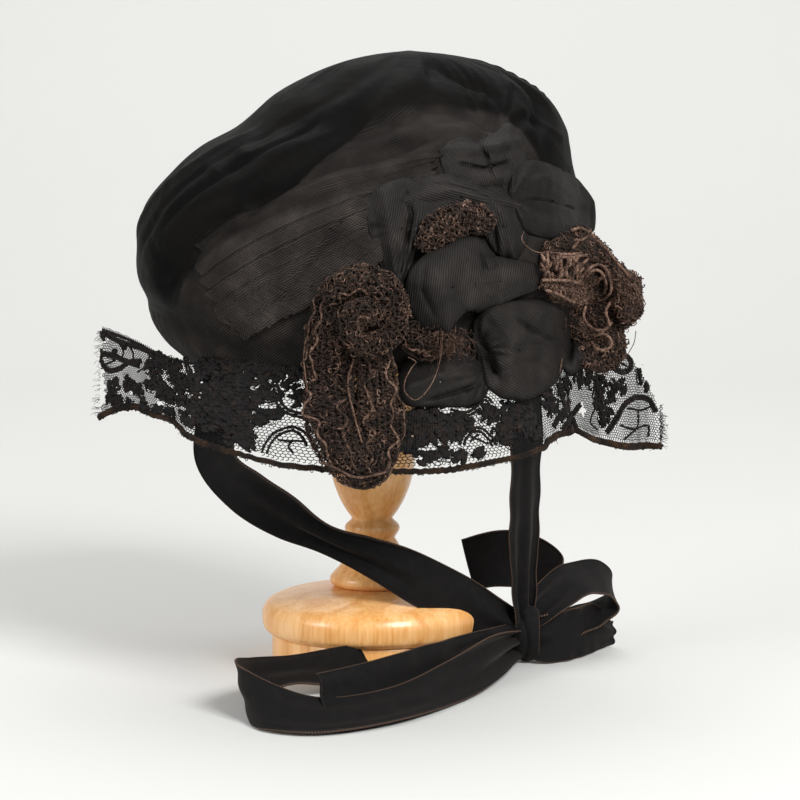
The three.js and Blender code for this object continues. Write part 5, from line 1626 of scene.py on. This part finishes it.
def puff_sheet(puff):
    """A closed outline in the picture filled by rings of places that rise from its edge."""
    outline = np.array(puff["outline"], float)
    closed = np.concatenate([outline, outline[:1]])
    keys = run_of(closed)
    wrapped = np.concatenate([closed[-3:-1], closed, closed[1:3]])
    wrapped_keys = np.concatenate([keys[-3:-1] - keys[-1], keys, keys[1:3] + keys[-1]])
    rows = [{"k": k, "x": p[0], "y": p[1]} for k, p in zip(wrapped_keys, wrapped)]
    at = np.arange(puff_spokes) / puff_spokes * keys[-1]
    edge = np.stack([0.5 * read_rows(rows, "k", c, at) + 0.5 * np.interp(at, wrapped_keys, wrapped[:, n])
                     for n, c in enumerate("xy")], -1)
    middle = np.array(puff.get("middle", outline.mean(0)))
    ring = np.sin(np.linspace(0.012, 1, puff_rings) * math.pi / 2)
    px = middle[0] + (edge[:, None, 0] - middle[0]) * ring
    py = middle[1] + (edge[:, None, 1] - middle[1]) * ring
    fullness = puff.get("fullness", 2.4)
    dome = (1 - ring ** fullness) ** (1 / 2)
    lean = puff.get("lean", (0, 0))
    tilt = ((px - middle[0]) * lean[0] + (py - middle[1]) * lean[1]) * mm
    around = np.arctan2(py - middle[1], px - middle[0]) / full_turn
    seed = puff["seed"]
    gather = 0.9 * mm * ripples(around, range(5, 19, 2), seed) * ring**2 * puff.get("gather", 1.0)
    crush = puff.get("crush", 0.8) * mm * crushed(px, py, seed)
    folds = line_lift(puff.get("folds", []), px, py) + fan_lift(puff.get("fans", []), px, py, seed)
    relief = (tilt + folds + gather + crush) * np.sqrt(dome)[None]
    lift = puff["base"] * mm + puff["lift"] * mm * dome[None] + relief
    grid = picture_places(px, py, lift)
    lean = math.radians(puff.get("ribs", 0))
    cloth = np.zeros(grid.shape)
    x, y = (px - middle[0]) * pixel_mm * mm, (py - middle[1]) * pixel_mm * mm
    cloth[..., 0] = x * math.cos(lean) + y * math.sin(lean)
    cloth[..., 1] = -x * math.sin(lean) + y * math.cos(lean)
    # The tone is the silk's own fade, with painted shade: lower down in folds and gathers, and towards the
    # tucked-under edge.
    tone = puff.get("tone", 0) * (0.3 + 0.7 * smooth_step(-1.6 * mm, 0.4 * mm,
                                                          folds + gather)) * (0.35 + 0.65 * dome[None])
    return grid, cloth, tone


# %% Silk of the trim
silk_puffs = [
    dict(name="satin_side_fold", nodes=[], slot="silk", tone=0.35, seed=105, base=-1, lift=6,
     outline=[(556, 306), (574, 308), (588, 322), (592, 345), (586, 366), (570, 376), (558, 360),
              (560, 334)],
     ribs=40, folds=[("crease", 3, 3, [(566, 314), (572, 340), (568, 366)])]),
    dict(name="satin_puff_upper", nodes=["silk_puff_upper"], slot="silk", tone=0.2, seed=101, base=1,
     lift=4, ribs=20, lean=(-0.06, 0.04), fans=[(512, 196, 12, 1.2, 50)],
     outline=[(512, 166), (530, 160), (556, 166), (578, 180), (594, 202), (594, 230), (576, 240),
              (546, 238),
                 (522, 230), (508, 200)],
     folds=[("tent", 5, 20, [(514, 182), (548, 178), (588, 206)]),
            ("tent", 3.5, 12, [(524, 218), (560, 226), (590, 222)]),
               ("crease", 2.6, 2.5, [(512, 198), (545, 200), (590, 213)])]),
    dict(name="gathered_puff_top", nodes=["silk_puff_top"], slot="silk", tone=0.55, seed=102, base=1,
     lift=2, ribs=70, crush=1.6, gather=0.4, middle=(494, 166),
     outline=[(440, 152), (452, 140), (476, 128), (494, 134), (508, 122), (524, 140), (528, 158),
              (520, 172), (526, 190),
                 (506, 198), (484, 200), (462, 192), (446, 178)],
     folds=[("tent", 3, 8, [(448, 150), (480, 150), (524, 140)]),
            ("tent", 3, 9, [(452, 172), (486, 180), (524, 172)]),
               ("crease", 2.4, 2, [(450, 162), (484, 168), (522, 158)]),
               ("crease", 2, 2, [(470, 134), (488, 158), (496, 196)]),
               ("tent", 2.5, 6, [(508, 128), (512, 158), (506, 190)])]),
    dict(name="gathered_roll", nodes=[], slot="ribbed_silk", tone=0.6, seed=103, base=2, lift=3,
     ribs=15, outline=[(396, 206), (404, 188), (430, 176), (452, 174), (482, 180), (508, 190), (528, 206),
                             (512, 216), (484, 212), (452, 208), (424, 214)],
     folds=[("tent", 3, 9, [(402, 200), (450, 190), (520, 206)]),
            ("crease", 1.8, 2, [(430, 182), (470, 190), (500, 204)])]),
    dict(name="ribbed_flap", nodes=[], slot="ribbed_silk", tone=0.5, seed=104, base=1, lift=4,
     ribs=75, outline=[(474, 200), (496, 192), (518, 200), (529, 222), (526, 244), (516, 260), (500, 257),
                             (488, 242), (478, 224)],
     folds=[("tent", 5, 15, [(490, 198), (510, 226), (512, 258)]),
            ("crease", 2.4, 2.5, [(480, 206), (494, 226), (498, 256)])]),
    dict(name="ribbed_fold_middle", nodes=[], slot="ribbed_silk", tone=0.62, seed=106, base=2, lift=3,
     ribs=100, lean=(0.05, -0.03), fans=[(398, 290, 22, 1.6, 60)],
     outline=[(366, 200), (384, 184), (408, 178), (426, 190), (442, 208), (430, 230), (414, 256),
              (402, 292),
                 (392, 290), (380, 262), (370, 230)],
     folds=[("tent", 4.5, 14, [(384, 196), (394, 240), (396, 286)]),
            ("crease", 3, 2.5, [(404, 184), (412, 214), (404, 250)])]),
    dict(name="satin_fold_left", nodes=["silk_fold_left"], slot="silk", tone=0.5, seed=107, base=3,
     lift=6, ribs=60, fans=[(486, 372, 14, 1.2, 50)],
     outline=[(398, 378), (404, 362), (428, 352), (458, 348), (480, 362), (490, 384), (482, 400),
              (462, 407),
                 (436, 406), (410, 406), (396, 396)],
     folds=[("tent", 6, 20, [(402, 390), (440, 374), (478, 362)]),
            ("crease", 2.4, 2.5, [(420, 403), (455, 392), (488, 382)])]),
    dict(name="satin_puff_lower", nodes=["silk_puff_lower"], slot="silk", tone=0.65, seed=108, base=4,
     lift=8, ribs=30, crush=0.9, fans=[(480, 346, 12, 1.6, 50)],
     outline=[(474, 322), (486, 308), (508, 302), (540, 300), (564, 312), (570, 334), (566, 360),
              (556, 382),
                 (540, 394), (522, 400), (502, 398), (486, 386), (478, 366), (472, 342)],
     folds=[("tent", 8, 24, [(492, 312), (510, 342), (514, 394)]),
            ("tent", 7, 22, [(542, 306), (554, 346), (534, 388)]),
               ("crease", 3.6, 2.5, [(507, 312), (530, 330), (568, 348)]),
               ("crease", 4, 3, [(476, 330), (490, 354), (500, 384)]),
               ("tent", 3, 9, [(500, 364), (530, 352), (564, 352)])]),
    dict(name="ribbed_loop_wing", nodes=[], slot="ribbed_silk", tone=0.66, seed=109, base=6, lift=4,
     ribs=100, crush=0.4, lean=(-0.08, 0.05),
     outline=[(470, 262), (490, 256), (514, 260), (538, 266), (539, 287), (516, 297), (494, 307),
              (476, 312),
                 (462, 290)],
     folds=[("tent", 5, 16, [(476, 284), (508, 276), (538, 276)])]),
    dict(name="ribbed_loop", nodes=["silk_loop_centre"], slot="ribbed_silk", tone=0.7, seed=110, base=9,
     lift=6, ribs=96, crush=0.4, fullness=1.8,
     outline=[(405, 290), (411, 270), (424, 256), (442, 246), (460, 237), (478, 238), (490, 250),
              (499, 270),
                 (499, 300), (486, 309), (466, 311), (456, 322), (447, 337), (438, 334), (422, 326),
                 (408, 308)],
     folds=[("tent", 6, 30, [(462, 240), (442, 286), (446, 332)]),
            ("crease", 2.6, 2.5, [(476, 240), (486, 272), (492, 304)]),
               ("crease", 1.8, 3, [(426, 258), (422, 290), (440, 326)])]),
]
silk_thickness = 0.8 * mm
trim_pieces = {}
trim_sizes = {}
for puff in silk_puffs:
    bundle = Bundle()
    grid, cloth, tone = puff_sheet(puff)
    add_cloth(bundle, grid, silk_thickness, tone=tone, ring=True, cloth=cloth)
    trim_pieces[puff["name"]] = bundle.build(puff["name"], [satin_silk], puff["nodes"])
    reach = np.linalg.norm(np.diff(grid, axis=1), axis=-1).sum(1)
    trim_sizes[puff["name"]] = 2 * reach.mean()
    print("  about", round(2 * reach.mean() / mm), "mm across, measured over the cloth")

# %% [markdown]
# ## Crochet
# The brown trim is silk thread crocheted into soft bands, then curled and looped. At this scale each
# stitch shows as a small bead of twisted thread, so the stitches are real: rows of thread that swing
# from side to side and in and out, one swing to a stitch, over a dark core that closes the gaps behind
# them. Loose loops and a few thicker cords lie on top, because the real band is worn and fuzzy. The
# thread has faded unevenly from black to rust.

# %% Crochet finish
def crochet_colour(tree):
    shade = calc(tree, "MULTIPLY_ADD", cloudy(tree, 1.3 * mm, 2.0), 0.55,
                 calc(tree, "MULTIPLY", cloudy(tree, 9 * mm, 3.0, 5.0), 0.45))
    plain = colour_steps(tree, shade, ((0.40, "#090706"), (0.52, "#19120f"), (0.61, "#3d2b21"),
                                       (0.74, "#84604a")))
    pale = colour_steps(tree, shade, ((0.36, "#3b2a22"), (0.50, "#7a5c4c"), (0.64, "#a98b7a")))
    return mixed(tree, attribute(tree, "tone", "Fac"), plain, pale)


crochet_silk = finish("faded_crochet_silk", crochet_colour, 0.8, thread_height, 0.25 * mm,
                      Specular_IOR_Level=0.25, Sheen_Weight=0.3, Sheen_Roughness=0.5,
                      Sheen_Tint=linear("#8b7262"))

# %% Crochet builder
stitch_length = 3.0 * mm
stitch_row = 2.2 * mm
stitch_thread = 0.5 * mm
loose_thread = 0.34 * mm
band_around, band_spacing, band_lobes = 28, 1.2 * mm, 0.16
stitch_steps = 5


def read_grid(grid, u, v, ring):
    """Places on a grid between its points; v may run on past 1 where the grid is a ring."""
    rows, columns = grid.shape[:2]
    y = np.clip(u, 0, 1) * (rows - 1)
    x = (v % 1) * columns if ring else np.clip(v, 0, 1) * (columns - 1)
    i, j = np.minimum(y.astype(int), rows - 2), x.astype(int)
    j = j if ring else np.minimum(j, columns - 2)
    after = (j + 1) % columns if ring else j + 1
    fy, fx = (y - i)[..., None], (x - j)[..., None]
    near = grid[i, j % columns] * (1 - fx) + grid[i, after] * fx
    far = grid[i + 1, j % columns] * (1 - fx) + grid[i + 1, after] * fx
    return near * (1 - fy) + far * fy


def band_normals(grid, ring):
    """Normals of a grid that, as a ring, closes on itself in its second direction."""
    if not ring:
        return grid_normals(grid)
    return grid_normals(np.concatenate([grid[:, -1:], grid, grid[:, :1]], 1))[:, 1:-1]


def add_crochet(bundle, grid, ring, tone, seed):
    """Covers a grid, long in its first direction, with rows of stitches."""
    chance = np.random.default_rng(seed)
    length = np.linalg.norm(np.diff(grid, axis=0), axis=-1).sum(0).mean()
    closed = np.concatenate([grid, grid[:, :1]], 1) if ring else grid
    width = np.linalg.norm(np.diff(closed, axis=1), axis=-1).sum(1).mean()
    rows = max(int(width / stitch_row), 2)
    steps = int(length / stitch_length * stitch_steps)
    u = np.linspace(0, 1, steps)[None].repeat(rows, 0)
    v = (np.arange(rows) + 0.5)[:, None] / rows if ring else np.linspace(0, 1, rows)[:, None]
    phase = np.arange(rows)[:, None] * math.pi + chance.uniform(-0.5, 0.5, (rows, 1))
    swing = full_turn * u * length / stitch_length + phase
    uneven = 1 + 0.35 * ripples(u * 3 + v, range(2, 9), seed + 1)
    v = v + 0.42 / rows * np.sin(swing) * uneven
    places = read_grid(grid, u, v, ring)
    ups = unit(read_grid(band_normals(grid, ring), u, v, ring))
    lift = stitch_thread * (0.9 + 1.1 * np.cos(2 * swing) * uneven)
    places = places + ups * lift[..., None]
    tones = np.clip(tone + 0.25 * ripples(u * 2 + v * 3, range(3, 20, 4), seed + 2), 0, 1)
    add_threads(bundle, places, ups, stitch_thread * (1 + 0.2 * np.sin(swing * 0.5)), 3, tone=tones)


def add_loose_stitches(bundle, grid, ring, count, seed, tone, high=1.4 * mm):
    """Small open loops of thread scattered over a grid and tilted every way, each with a shade of its own."""
    chance = np.random.default_rng(seed)
    u, v = chance.uniform(0.01, 0.99, count), chance.uniform(0, 1, count)
    middle, up = read_grid(grid, u, v, ring), unit(read_grid(band_normals(grid, ring), u, v, ring))
    lean = unit(up + 0.6 * chance.normal(size=(count, 3)))
    side = unit(np.cross(lean, chance.normal(size=(count, 3))))
    across = np.cross(lean, side)
    t = np.linspace(0, chance.uniform(0.6, 1.7, count) * math.pi, 5).T
    size = chance.uniform(0.8, 1.9, (count, 1)) * mm
    path = (middle[:, None] + side[:, None] * (size * np.cos(t))[..., None]
            + across[:, None] * (size * np.sin(t))[..., None]
            + (up * chance.uniform(0.1, 1, (count, 1)) * high)[:, None])
    shade = np.clip(chance.exponential(0.28, (count, 1)) + tone, 0, 1)
    thread = loose_thread * chance.uniform(0.7, 1.3, (count, 1))
    add_threads(bundle, path, lean[:, None].repeat(5, 1), thread, 3, tone=shade)


def add_band_cords(bundle, grid, count, seed):
    """Uneven cords that run along a crocheted band and wander over it."""
    chance = np.random.default_rng(seed)
    u = np.linspace(0.01, 0.99, len(grid) * 2)
    for n in range(count):
        v = (n + chance.uniform(-0.3, 0.3)) / count + 0.05 * ripples(u * 3, range(1, 6), seed + n)
        up = unit(read_grid(band_normals(grid, True), u, v, True))
        path = read_grid(grid, u, v, True) + up * 1.3 * mm
        uneven = (0.62 + 0.2 * ripples(u * 9, range(2, 9), seed + n)) * mm
        shade = np.clip(chance.uniform(-0.1, 0.5) + 0.3 * ripples(u * 7, range(2, 9), n), 0, 1)
        add_threads(bundle, path[None], up[None], uneven, 4, tone=shade)


def band_grid(path, seed):
    """A soft flattened tube along rows of (px, py, lift, half width, half thickness), closed round."""
    centres = np.array([picture_place(*row[:3], tree=front_tree) for row in path])
    keys = run_of(centres)
    rows = [dict(zip("kxyzwt", (key, *centre, row[3] * mm, row[4] * mm)))
            for key, centre, row in zip(keys, centres, path)]
    at = np.linspace(0, keys[-1], int(keys[-1] / band_spacing))
    middle = np.stack([read_rows(rows, "k", c, at) for c in "xyz"], -1)
    wide, thick = read_rows(rows, "k", "w", at), read_rows(rows, "k", "t", at)
    along = unit(np.gradient(middle, axis=0))
    front = unit(camera_place - middle)
    across = unit(np.cross(along, front))
    front = np.cross(across, along)
    a = np.arange(band_around) * full_turn / band_around
    share = at / at[-1]
    lobe = 1 + band_lobes * ripples(a[None] / full_turn + 0.8 * share[:, None], (2, 3, 5), seed)
    lobe = lobe * (1 + 0.5 * band_lobes * ripples(share[:, None] * 2 + a[None] / full_turn, range(3, 9),
                                                  seed + 1))
    return (middle[:, None] + across[:, None] * (wide[:, None] * lobe * np.cos(a)[None])[..., None]
            + front[:, None] * (thick[:, None] * lobe * np.sin(a)[None])[..., None])


def add_core(bundle, grid):
    """A dark closed core under the stitches of a band."""
    middle = grid.mean(1, keepdims=True)
    core = (middle + (grid - middle) * 0.8)[::2]
    rows, columns = core.shape[:2]
    bundle.add(core, grid_faces(rows, columns, ring_columns=True)[:, ::-1])
    first = bundle.count - rows * columns
    for row, order in ((0, 1), (rows - 1, -1)):
        bundle.add(core[row].mean(0)[None], np.zeros((0, 3), int))
        ring = first + row * columns + np.arange(columns)
        middle = np.full(columns, bundle.count - 1)
        bundle.faces.append((np.stack([middle, ring, np.roll(ring, -1)], -1)[:, ::order], 0))


# %% [markdown]
# The long loop hangs from the coil over the lace: down on the left, round, and up behind on the right.
# Its two runs nearly touch, and loose stitches bridge the slit. The coil above it is one more turn of the
# same band, and a stub of it peeks out between the silk folds.

# %% Crochet bands
long_path = [
    (342, 292, 10, 6.0, 4.5), (335, 312, 12, 8.5, 5.0), (330, 345, 13, 11.0, 5.0),
    (330, 380, 14, 12.0, 5.0),
    (332, 412, 15, 12.0, 5.0), (338, 440, 16, 10.5, 5.0), (349, 462, 17, 8.0, 5.0),
    (362, 472, 18, 6.6, 5.0),
    (374, 462, 17, 8.0, 5.0), (379, 438, 16, 9.5, 4.8), (378, 408, 15, 10.0, 4.6), (376, 378, 14, 9.5, 4.4),
    (373, 350, 12, 8.0, 4.0),
]
coil_path = [
    (330, 300, 14, 6.0, 4.5), (343, 287, 17, 7.0, 5.5), (362, 281, 19, 7.0, 6.0), (381, 287, 19, 6.5, 6.0),
    (392, 303, 18, 6.0, 5.5), (392, 324, 17, 6.0, 5.5), (380, 340, 18, 6.0, 5.5), (362, 342, 20, 5.5, 5.0),
    (352, 329, 22, 5.0, 5.0), (356, 314, 23, 5.0, 5.0), (369, 309, 23, 5.0, 5.0), (376, 320, 23, 4.5, 5.0),
]
peek_path = [
    (424, 250, 5, 4.0, 3.0), (432, 238, 8, 6.0, 4.5), (446, 227, 9, 7.0, 5.0), (462, 219, 9, 7.0, 5.0),
    (478, 220, 7, 6.0, 4.0), (488, 227, 4, 3.5, 3.0),
]
filler_path = [
    (400, 304, 3, 5.0, 4.0), (408, 322, 5, 6.0, 4.0), (418, 340, 7, 6.5, 4.0), (434, 346, 7, 5.5, 4.0),
    (448, 344, 6, 4.0, 3.5),
]
for name, path, nodes, seed, tone in (
    ("crochet_long_loop", long_path, ["crochet_loop_long"], 51, 0.0),
    ("crochet_curled_band", coil_path, ["crochet_coil"], 52, 0.12),
    ("crochet_stub", peek_path, ["crochet_peek"], 53, 0.15),
    ("crochet_filling", filler_path, [], 54, 0.0),
):
    bundle = Bundle()
    grid = band_grid(path, seed)
    add_core(bundle, grid)
    add_crochet(bundle, grid, ring=True, tone=tone, seed=seed)
    add_loose_stitches(bundle, grid, True, len(grid) * 10, seed + 9, tone=tone * 0.3)
    add_band_cords(bundle, grid, 7, seed + 19)
    trim_pieces[name] = bundle.build(name, [crochet_silk], nodes)

# %% [markdown]
# The rosette at the right is a crochet edging gathered so tightly that it reads as crumpled lumps. So it
# is four crushed sheets, made like the puffs and covered with stitches. Thick curled cords of three plies
# run over them, paler than the rest, and short leaf-like stitches fill its left side.

# %% Crochet rosette
rosette_sheets = [
    dict(seed=61, base=3, lift=5, fullness=2.4, crush=1.6, stitches=700, pale=0.05,
     outline=[(541, 250), (556, 238), (580, 226), (594, 236), (603, 244), (613, 257), (624, 269),
              (640, 280), (641, 298),
                 (643, 312), (622, 331), (606, 330), (590, 316), (572, 306), (552, 300), (540, 280)],
     folds=[("tent", 4, 14, [(590, 246), (612, 272), (626, 304)]),
            ("crease", 4, 4, [(584, 258), (604, 284), (608, 318)])]),
    dict(seed=62, base=1, lift=4, fullness=2.4, crush=1.6, stitches=340, pale=0.12,
     outline=[(570, 304), (588, 306), (604, 318), (622, 328), (625, 350), (618, 366), (600, 372),
              (584, 366),
                 (576, 344), (568, 322)], folds=[("crease", 3, 4, [(580, 312), (596, 336), (600, 364)])]),
    dict(seed=63, base=9, lift=4, fullness=3, crush=0.8, stitches=240, pale=0.4,
     outline=[(541, 282), (556, 278), (574, 280), (590, 288), (594, 298), (580, 304), (564, 298),
              (548, 292)],
     folds=[("ridge", 1.5, 3, [(546, 286), (568, 286), (588, 294)])]),
    dict(seed=64, base=8, lift=5, fullness=3, crush=1.0, stitches=340, pale=0.25,
     outline=[(600, 256), (612, 260), (624, 270), (637, 280), (638, 300), (634, 316), (622, 322),
              (614, 304),
                 (614, 284), (606, 270)], folds=[("tent", 4, 9, [(606, 262), (624, 286), (626, 314)])]),
]
rosette = Bundle()
for sheet in rosette_sheets:
    grid = puff_sheet(sheet)[0][::2, ::2]
    add_cloth(rosette, grid, 0.5 * mm, ring=True)
    closed = np.concatenate([grid, grid[:1]])
    add_crochet(rosette, closed, ring=False, tone=sheet["pale"], seed=sheet["seed"])
    add_loose_stitches(rosette, closed, False, sheet["stitches"], sheet["seed"], tone=sheet["pale"],
                       high=1.8 * mm)

curls = [
    [(547, 252, 13), (560, 254, 16), (575, 254, 18), (587, 250, 18), (592, 242, 17), (588, 233, 15),
     (580, 228, 14),
     (572, 230, 13)],
    [(550, 254, 13), (564, 257, 16), (578, 256, 18), (590, 253, 18), (595, 243, 17), (590, 231, 15)],
    [(578, 284, 20), (583, 276, 23), (590, 268, 25), (598, 265, 26), (606, 269, 26), (610, 280, 25),
     (611, 291, 24),
     (604, 299, 22)],
    [(581, 286, 20), (587, 276, 23), (595, 270, 25), (602, 273, 26), (606, 284, 25), (604, 294, 22)],
    [(575, 240, 18), (582, 240, 19), (587, 236, 18)], [(573, 248, 18), (578, 242, 19)],
    [(594, 284, 24), (600, 279, 25), (606, 276, 25)],
    [(543, 280, 14), (556, 280, 16), (570, 281, 18), (586, 286, 20)],
    [(546, 290, 14), (560, 295, 16), (574, 303, 16)],
    [(590, 338, 14), (596, 348, 16), (606, 350, 16), (612, 342, 15), (604, 334, 14), (594, 336, 14)],
    [(597, 240, 14), (607, 250, 16), (618, 264, 17), (630, 277, 17)],
    [(612, 300, 16), (606, 312, 16), (610, 326, 15)],
    [(586, 305, 14), (584, 318, 14), (592, 328, 14), (604, 330, 14), (612, 322, 14)],
]
curl_step = 0.75 * mm
for line in curls:
    path = resample(np.array([picture_place(*p) for p in line]), curl_step)
    front = unit(camera_place - path)
    turn = np.arange(len(path)) * curl_step / (2.6 * mm) * full_turn
    across = unit(np.cross(np.gradient(path, axis=0), front))
    for strand in range(3):
        angle = turn + strand * full_turn / 3
        ply = path + across * (0.5 * mm * np.cos(angle))[:, None]
        ply = ply + front * (0.5 * mm * np.sin(angle))[:, None]
        add_threads(rosette, ply[None], front[None], 0.42 * mm, 4, tone=0.8)

leaf_chance = np.random.default_rng(65)
leaves = []
for n in range(60):
    px, py = leaf_chance.uniform(544, 584), leaf_chance.uniform(262, 280)
    start = picture_place(px, py, leaf_chance.uniform(12, 17))
    lean = leaf_chance.uniform(0.7, 2.2)
    reach = leaf_chance.uniform(3, 6) * mm
    t = np.linspace(0, 1, 6)[:, None]
    way = np.array([math.cos(lean), -0.3, math.sin(lean)])
    leaves.append(start + t * reach * way + np.sin(t * math.pi) * 1.2 * mm * np.array([0, -1, 0]))
add_threads(rosette, np.array(leaves), (0, -1, 0), np.array([0.4, 0.7, 0.85, 0.85, 0.7, 0.3]) * mm, 5,
            tone=leaf_chance.uniform(0.3, 1, (60, 1)))
trim_pieces["crochet_rosette_ruffle"] = rosette.build("crochet_rosette_ruffle", [crochet_silk],
                                                      ["crochet_rosette"])

# %% [markdown]
# Last come the loose ends: a fine loop of thread that hangs over the lower folds, rust-brown frayed
# threads under the ribbed loop, and single threads that stick out at the left and at the right.

# %% Loose threads
loose = Bundle()
loose_lines = [
    (0.35, [(443, 331, 26), (440, 360, 26), (431, 385, 26), (416, 400, 24), (405, 392, 22), (405, 381, 21),
            (412, 367, 21),
            (416, 362, 20), (408, 357, 19)]),
    (0.6, [(354, 359, 22), (348, 382, 23), (354, 414, 23), (362, 443, 22)]),
    (0.5, [(306, 338, 14), (304, 360, 17), (308, 395, 18)]),
    (0.3, [(636, 331, 4), (634, 343, 3), (628, 354, 2)]),
    (0.3, [(568, 325, 18), (585, 332, 18), (600, 334, 18), (608, 328, 17)]),
    (0.3, [(524, 231, 12), (522, 240, 14), (532, 250, 15), (547, 254, 15)]),
    (0.35, [(566, 318, 18), (565, 340, 18), (560, 372, 16)]),
]
for radius, line in loose_lines:
    path = resample(np.array([picture_place(*p, tree=front_tree) for p in line]), 0.8 * mm)
    add_threads(loose, path[None], unit(camera_place - path)[None], radius * mm * 0.8, 5, tone=0.6)
frays = []
for n in range(260):
    px, py = leaf_chance.normal(450, 10), leaf_chance.normal(341, 7)
    direction = unit(np.array([leaf_chance.uniform(-1, 1), -0.6, leaf_chance.uniform(-1, 0.6)]))
    frays.append(hair(picture_place(px, py, leaf_chance.uniform(10, 15)), direction,
                      leaf_chance.uniform(2, 7) * mm, 0.2,
                      leaf_chance))
add_threads(loose, np.array(frays), (0.2, -1, 0.1), 0.16 * mm, 3,
            tone=leaf_chance.uniform(0.1, 0.8, (260, 1)))
trim_pieces["loose_threads"] = loose.build("loose_threads", [crochet_silk])
print("triangles so far:", sum(totals))

# %% [markdown]
# ## Cloth sizes
# The area of each piece of trim is measured over the cloth itself. For a silk puff, the smaller of that
# area and the square of its size across is taken. For a crochet band, the area is divided by the band's
# width. The results are not kept. The cut of the crown, the puffs and the crochet isn't known.


def cloth_area(piece):
    """Half the piece's surface, because thread and cloth alike have two sides."""
    areas = np.zeros(len(piece.data.polygons))
    piece.data.polygons.foreach_get("area", areas)
    return float(areas.sum() / 2)


for name, size in trim_sizes.items():
    piece = trim_pieces[name]
    min(cloth_area(piece), size**2)
for name, width in (("crochet_long_loop", 45), ("crochet_curled_band", 32), ("crochet_stub", 30),
                    ("crochet_filling", 30),
                    ("crochet_rosette_ruffle", 60)):
    piece = trim_pieces[name]
    cloth_area(piece) / (width * mm)
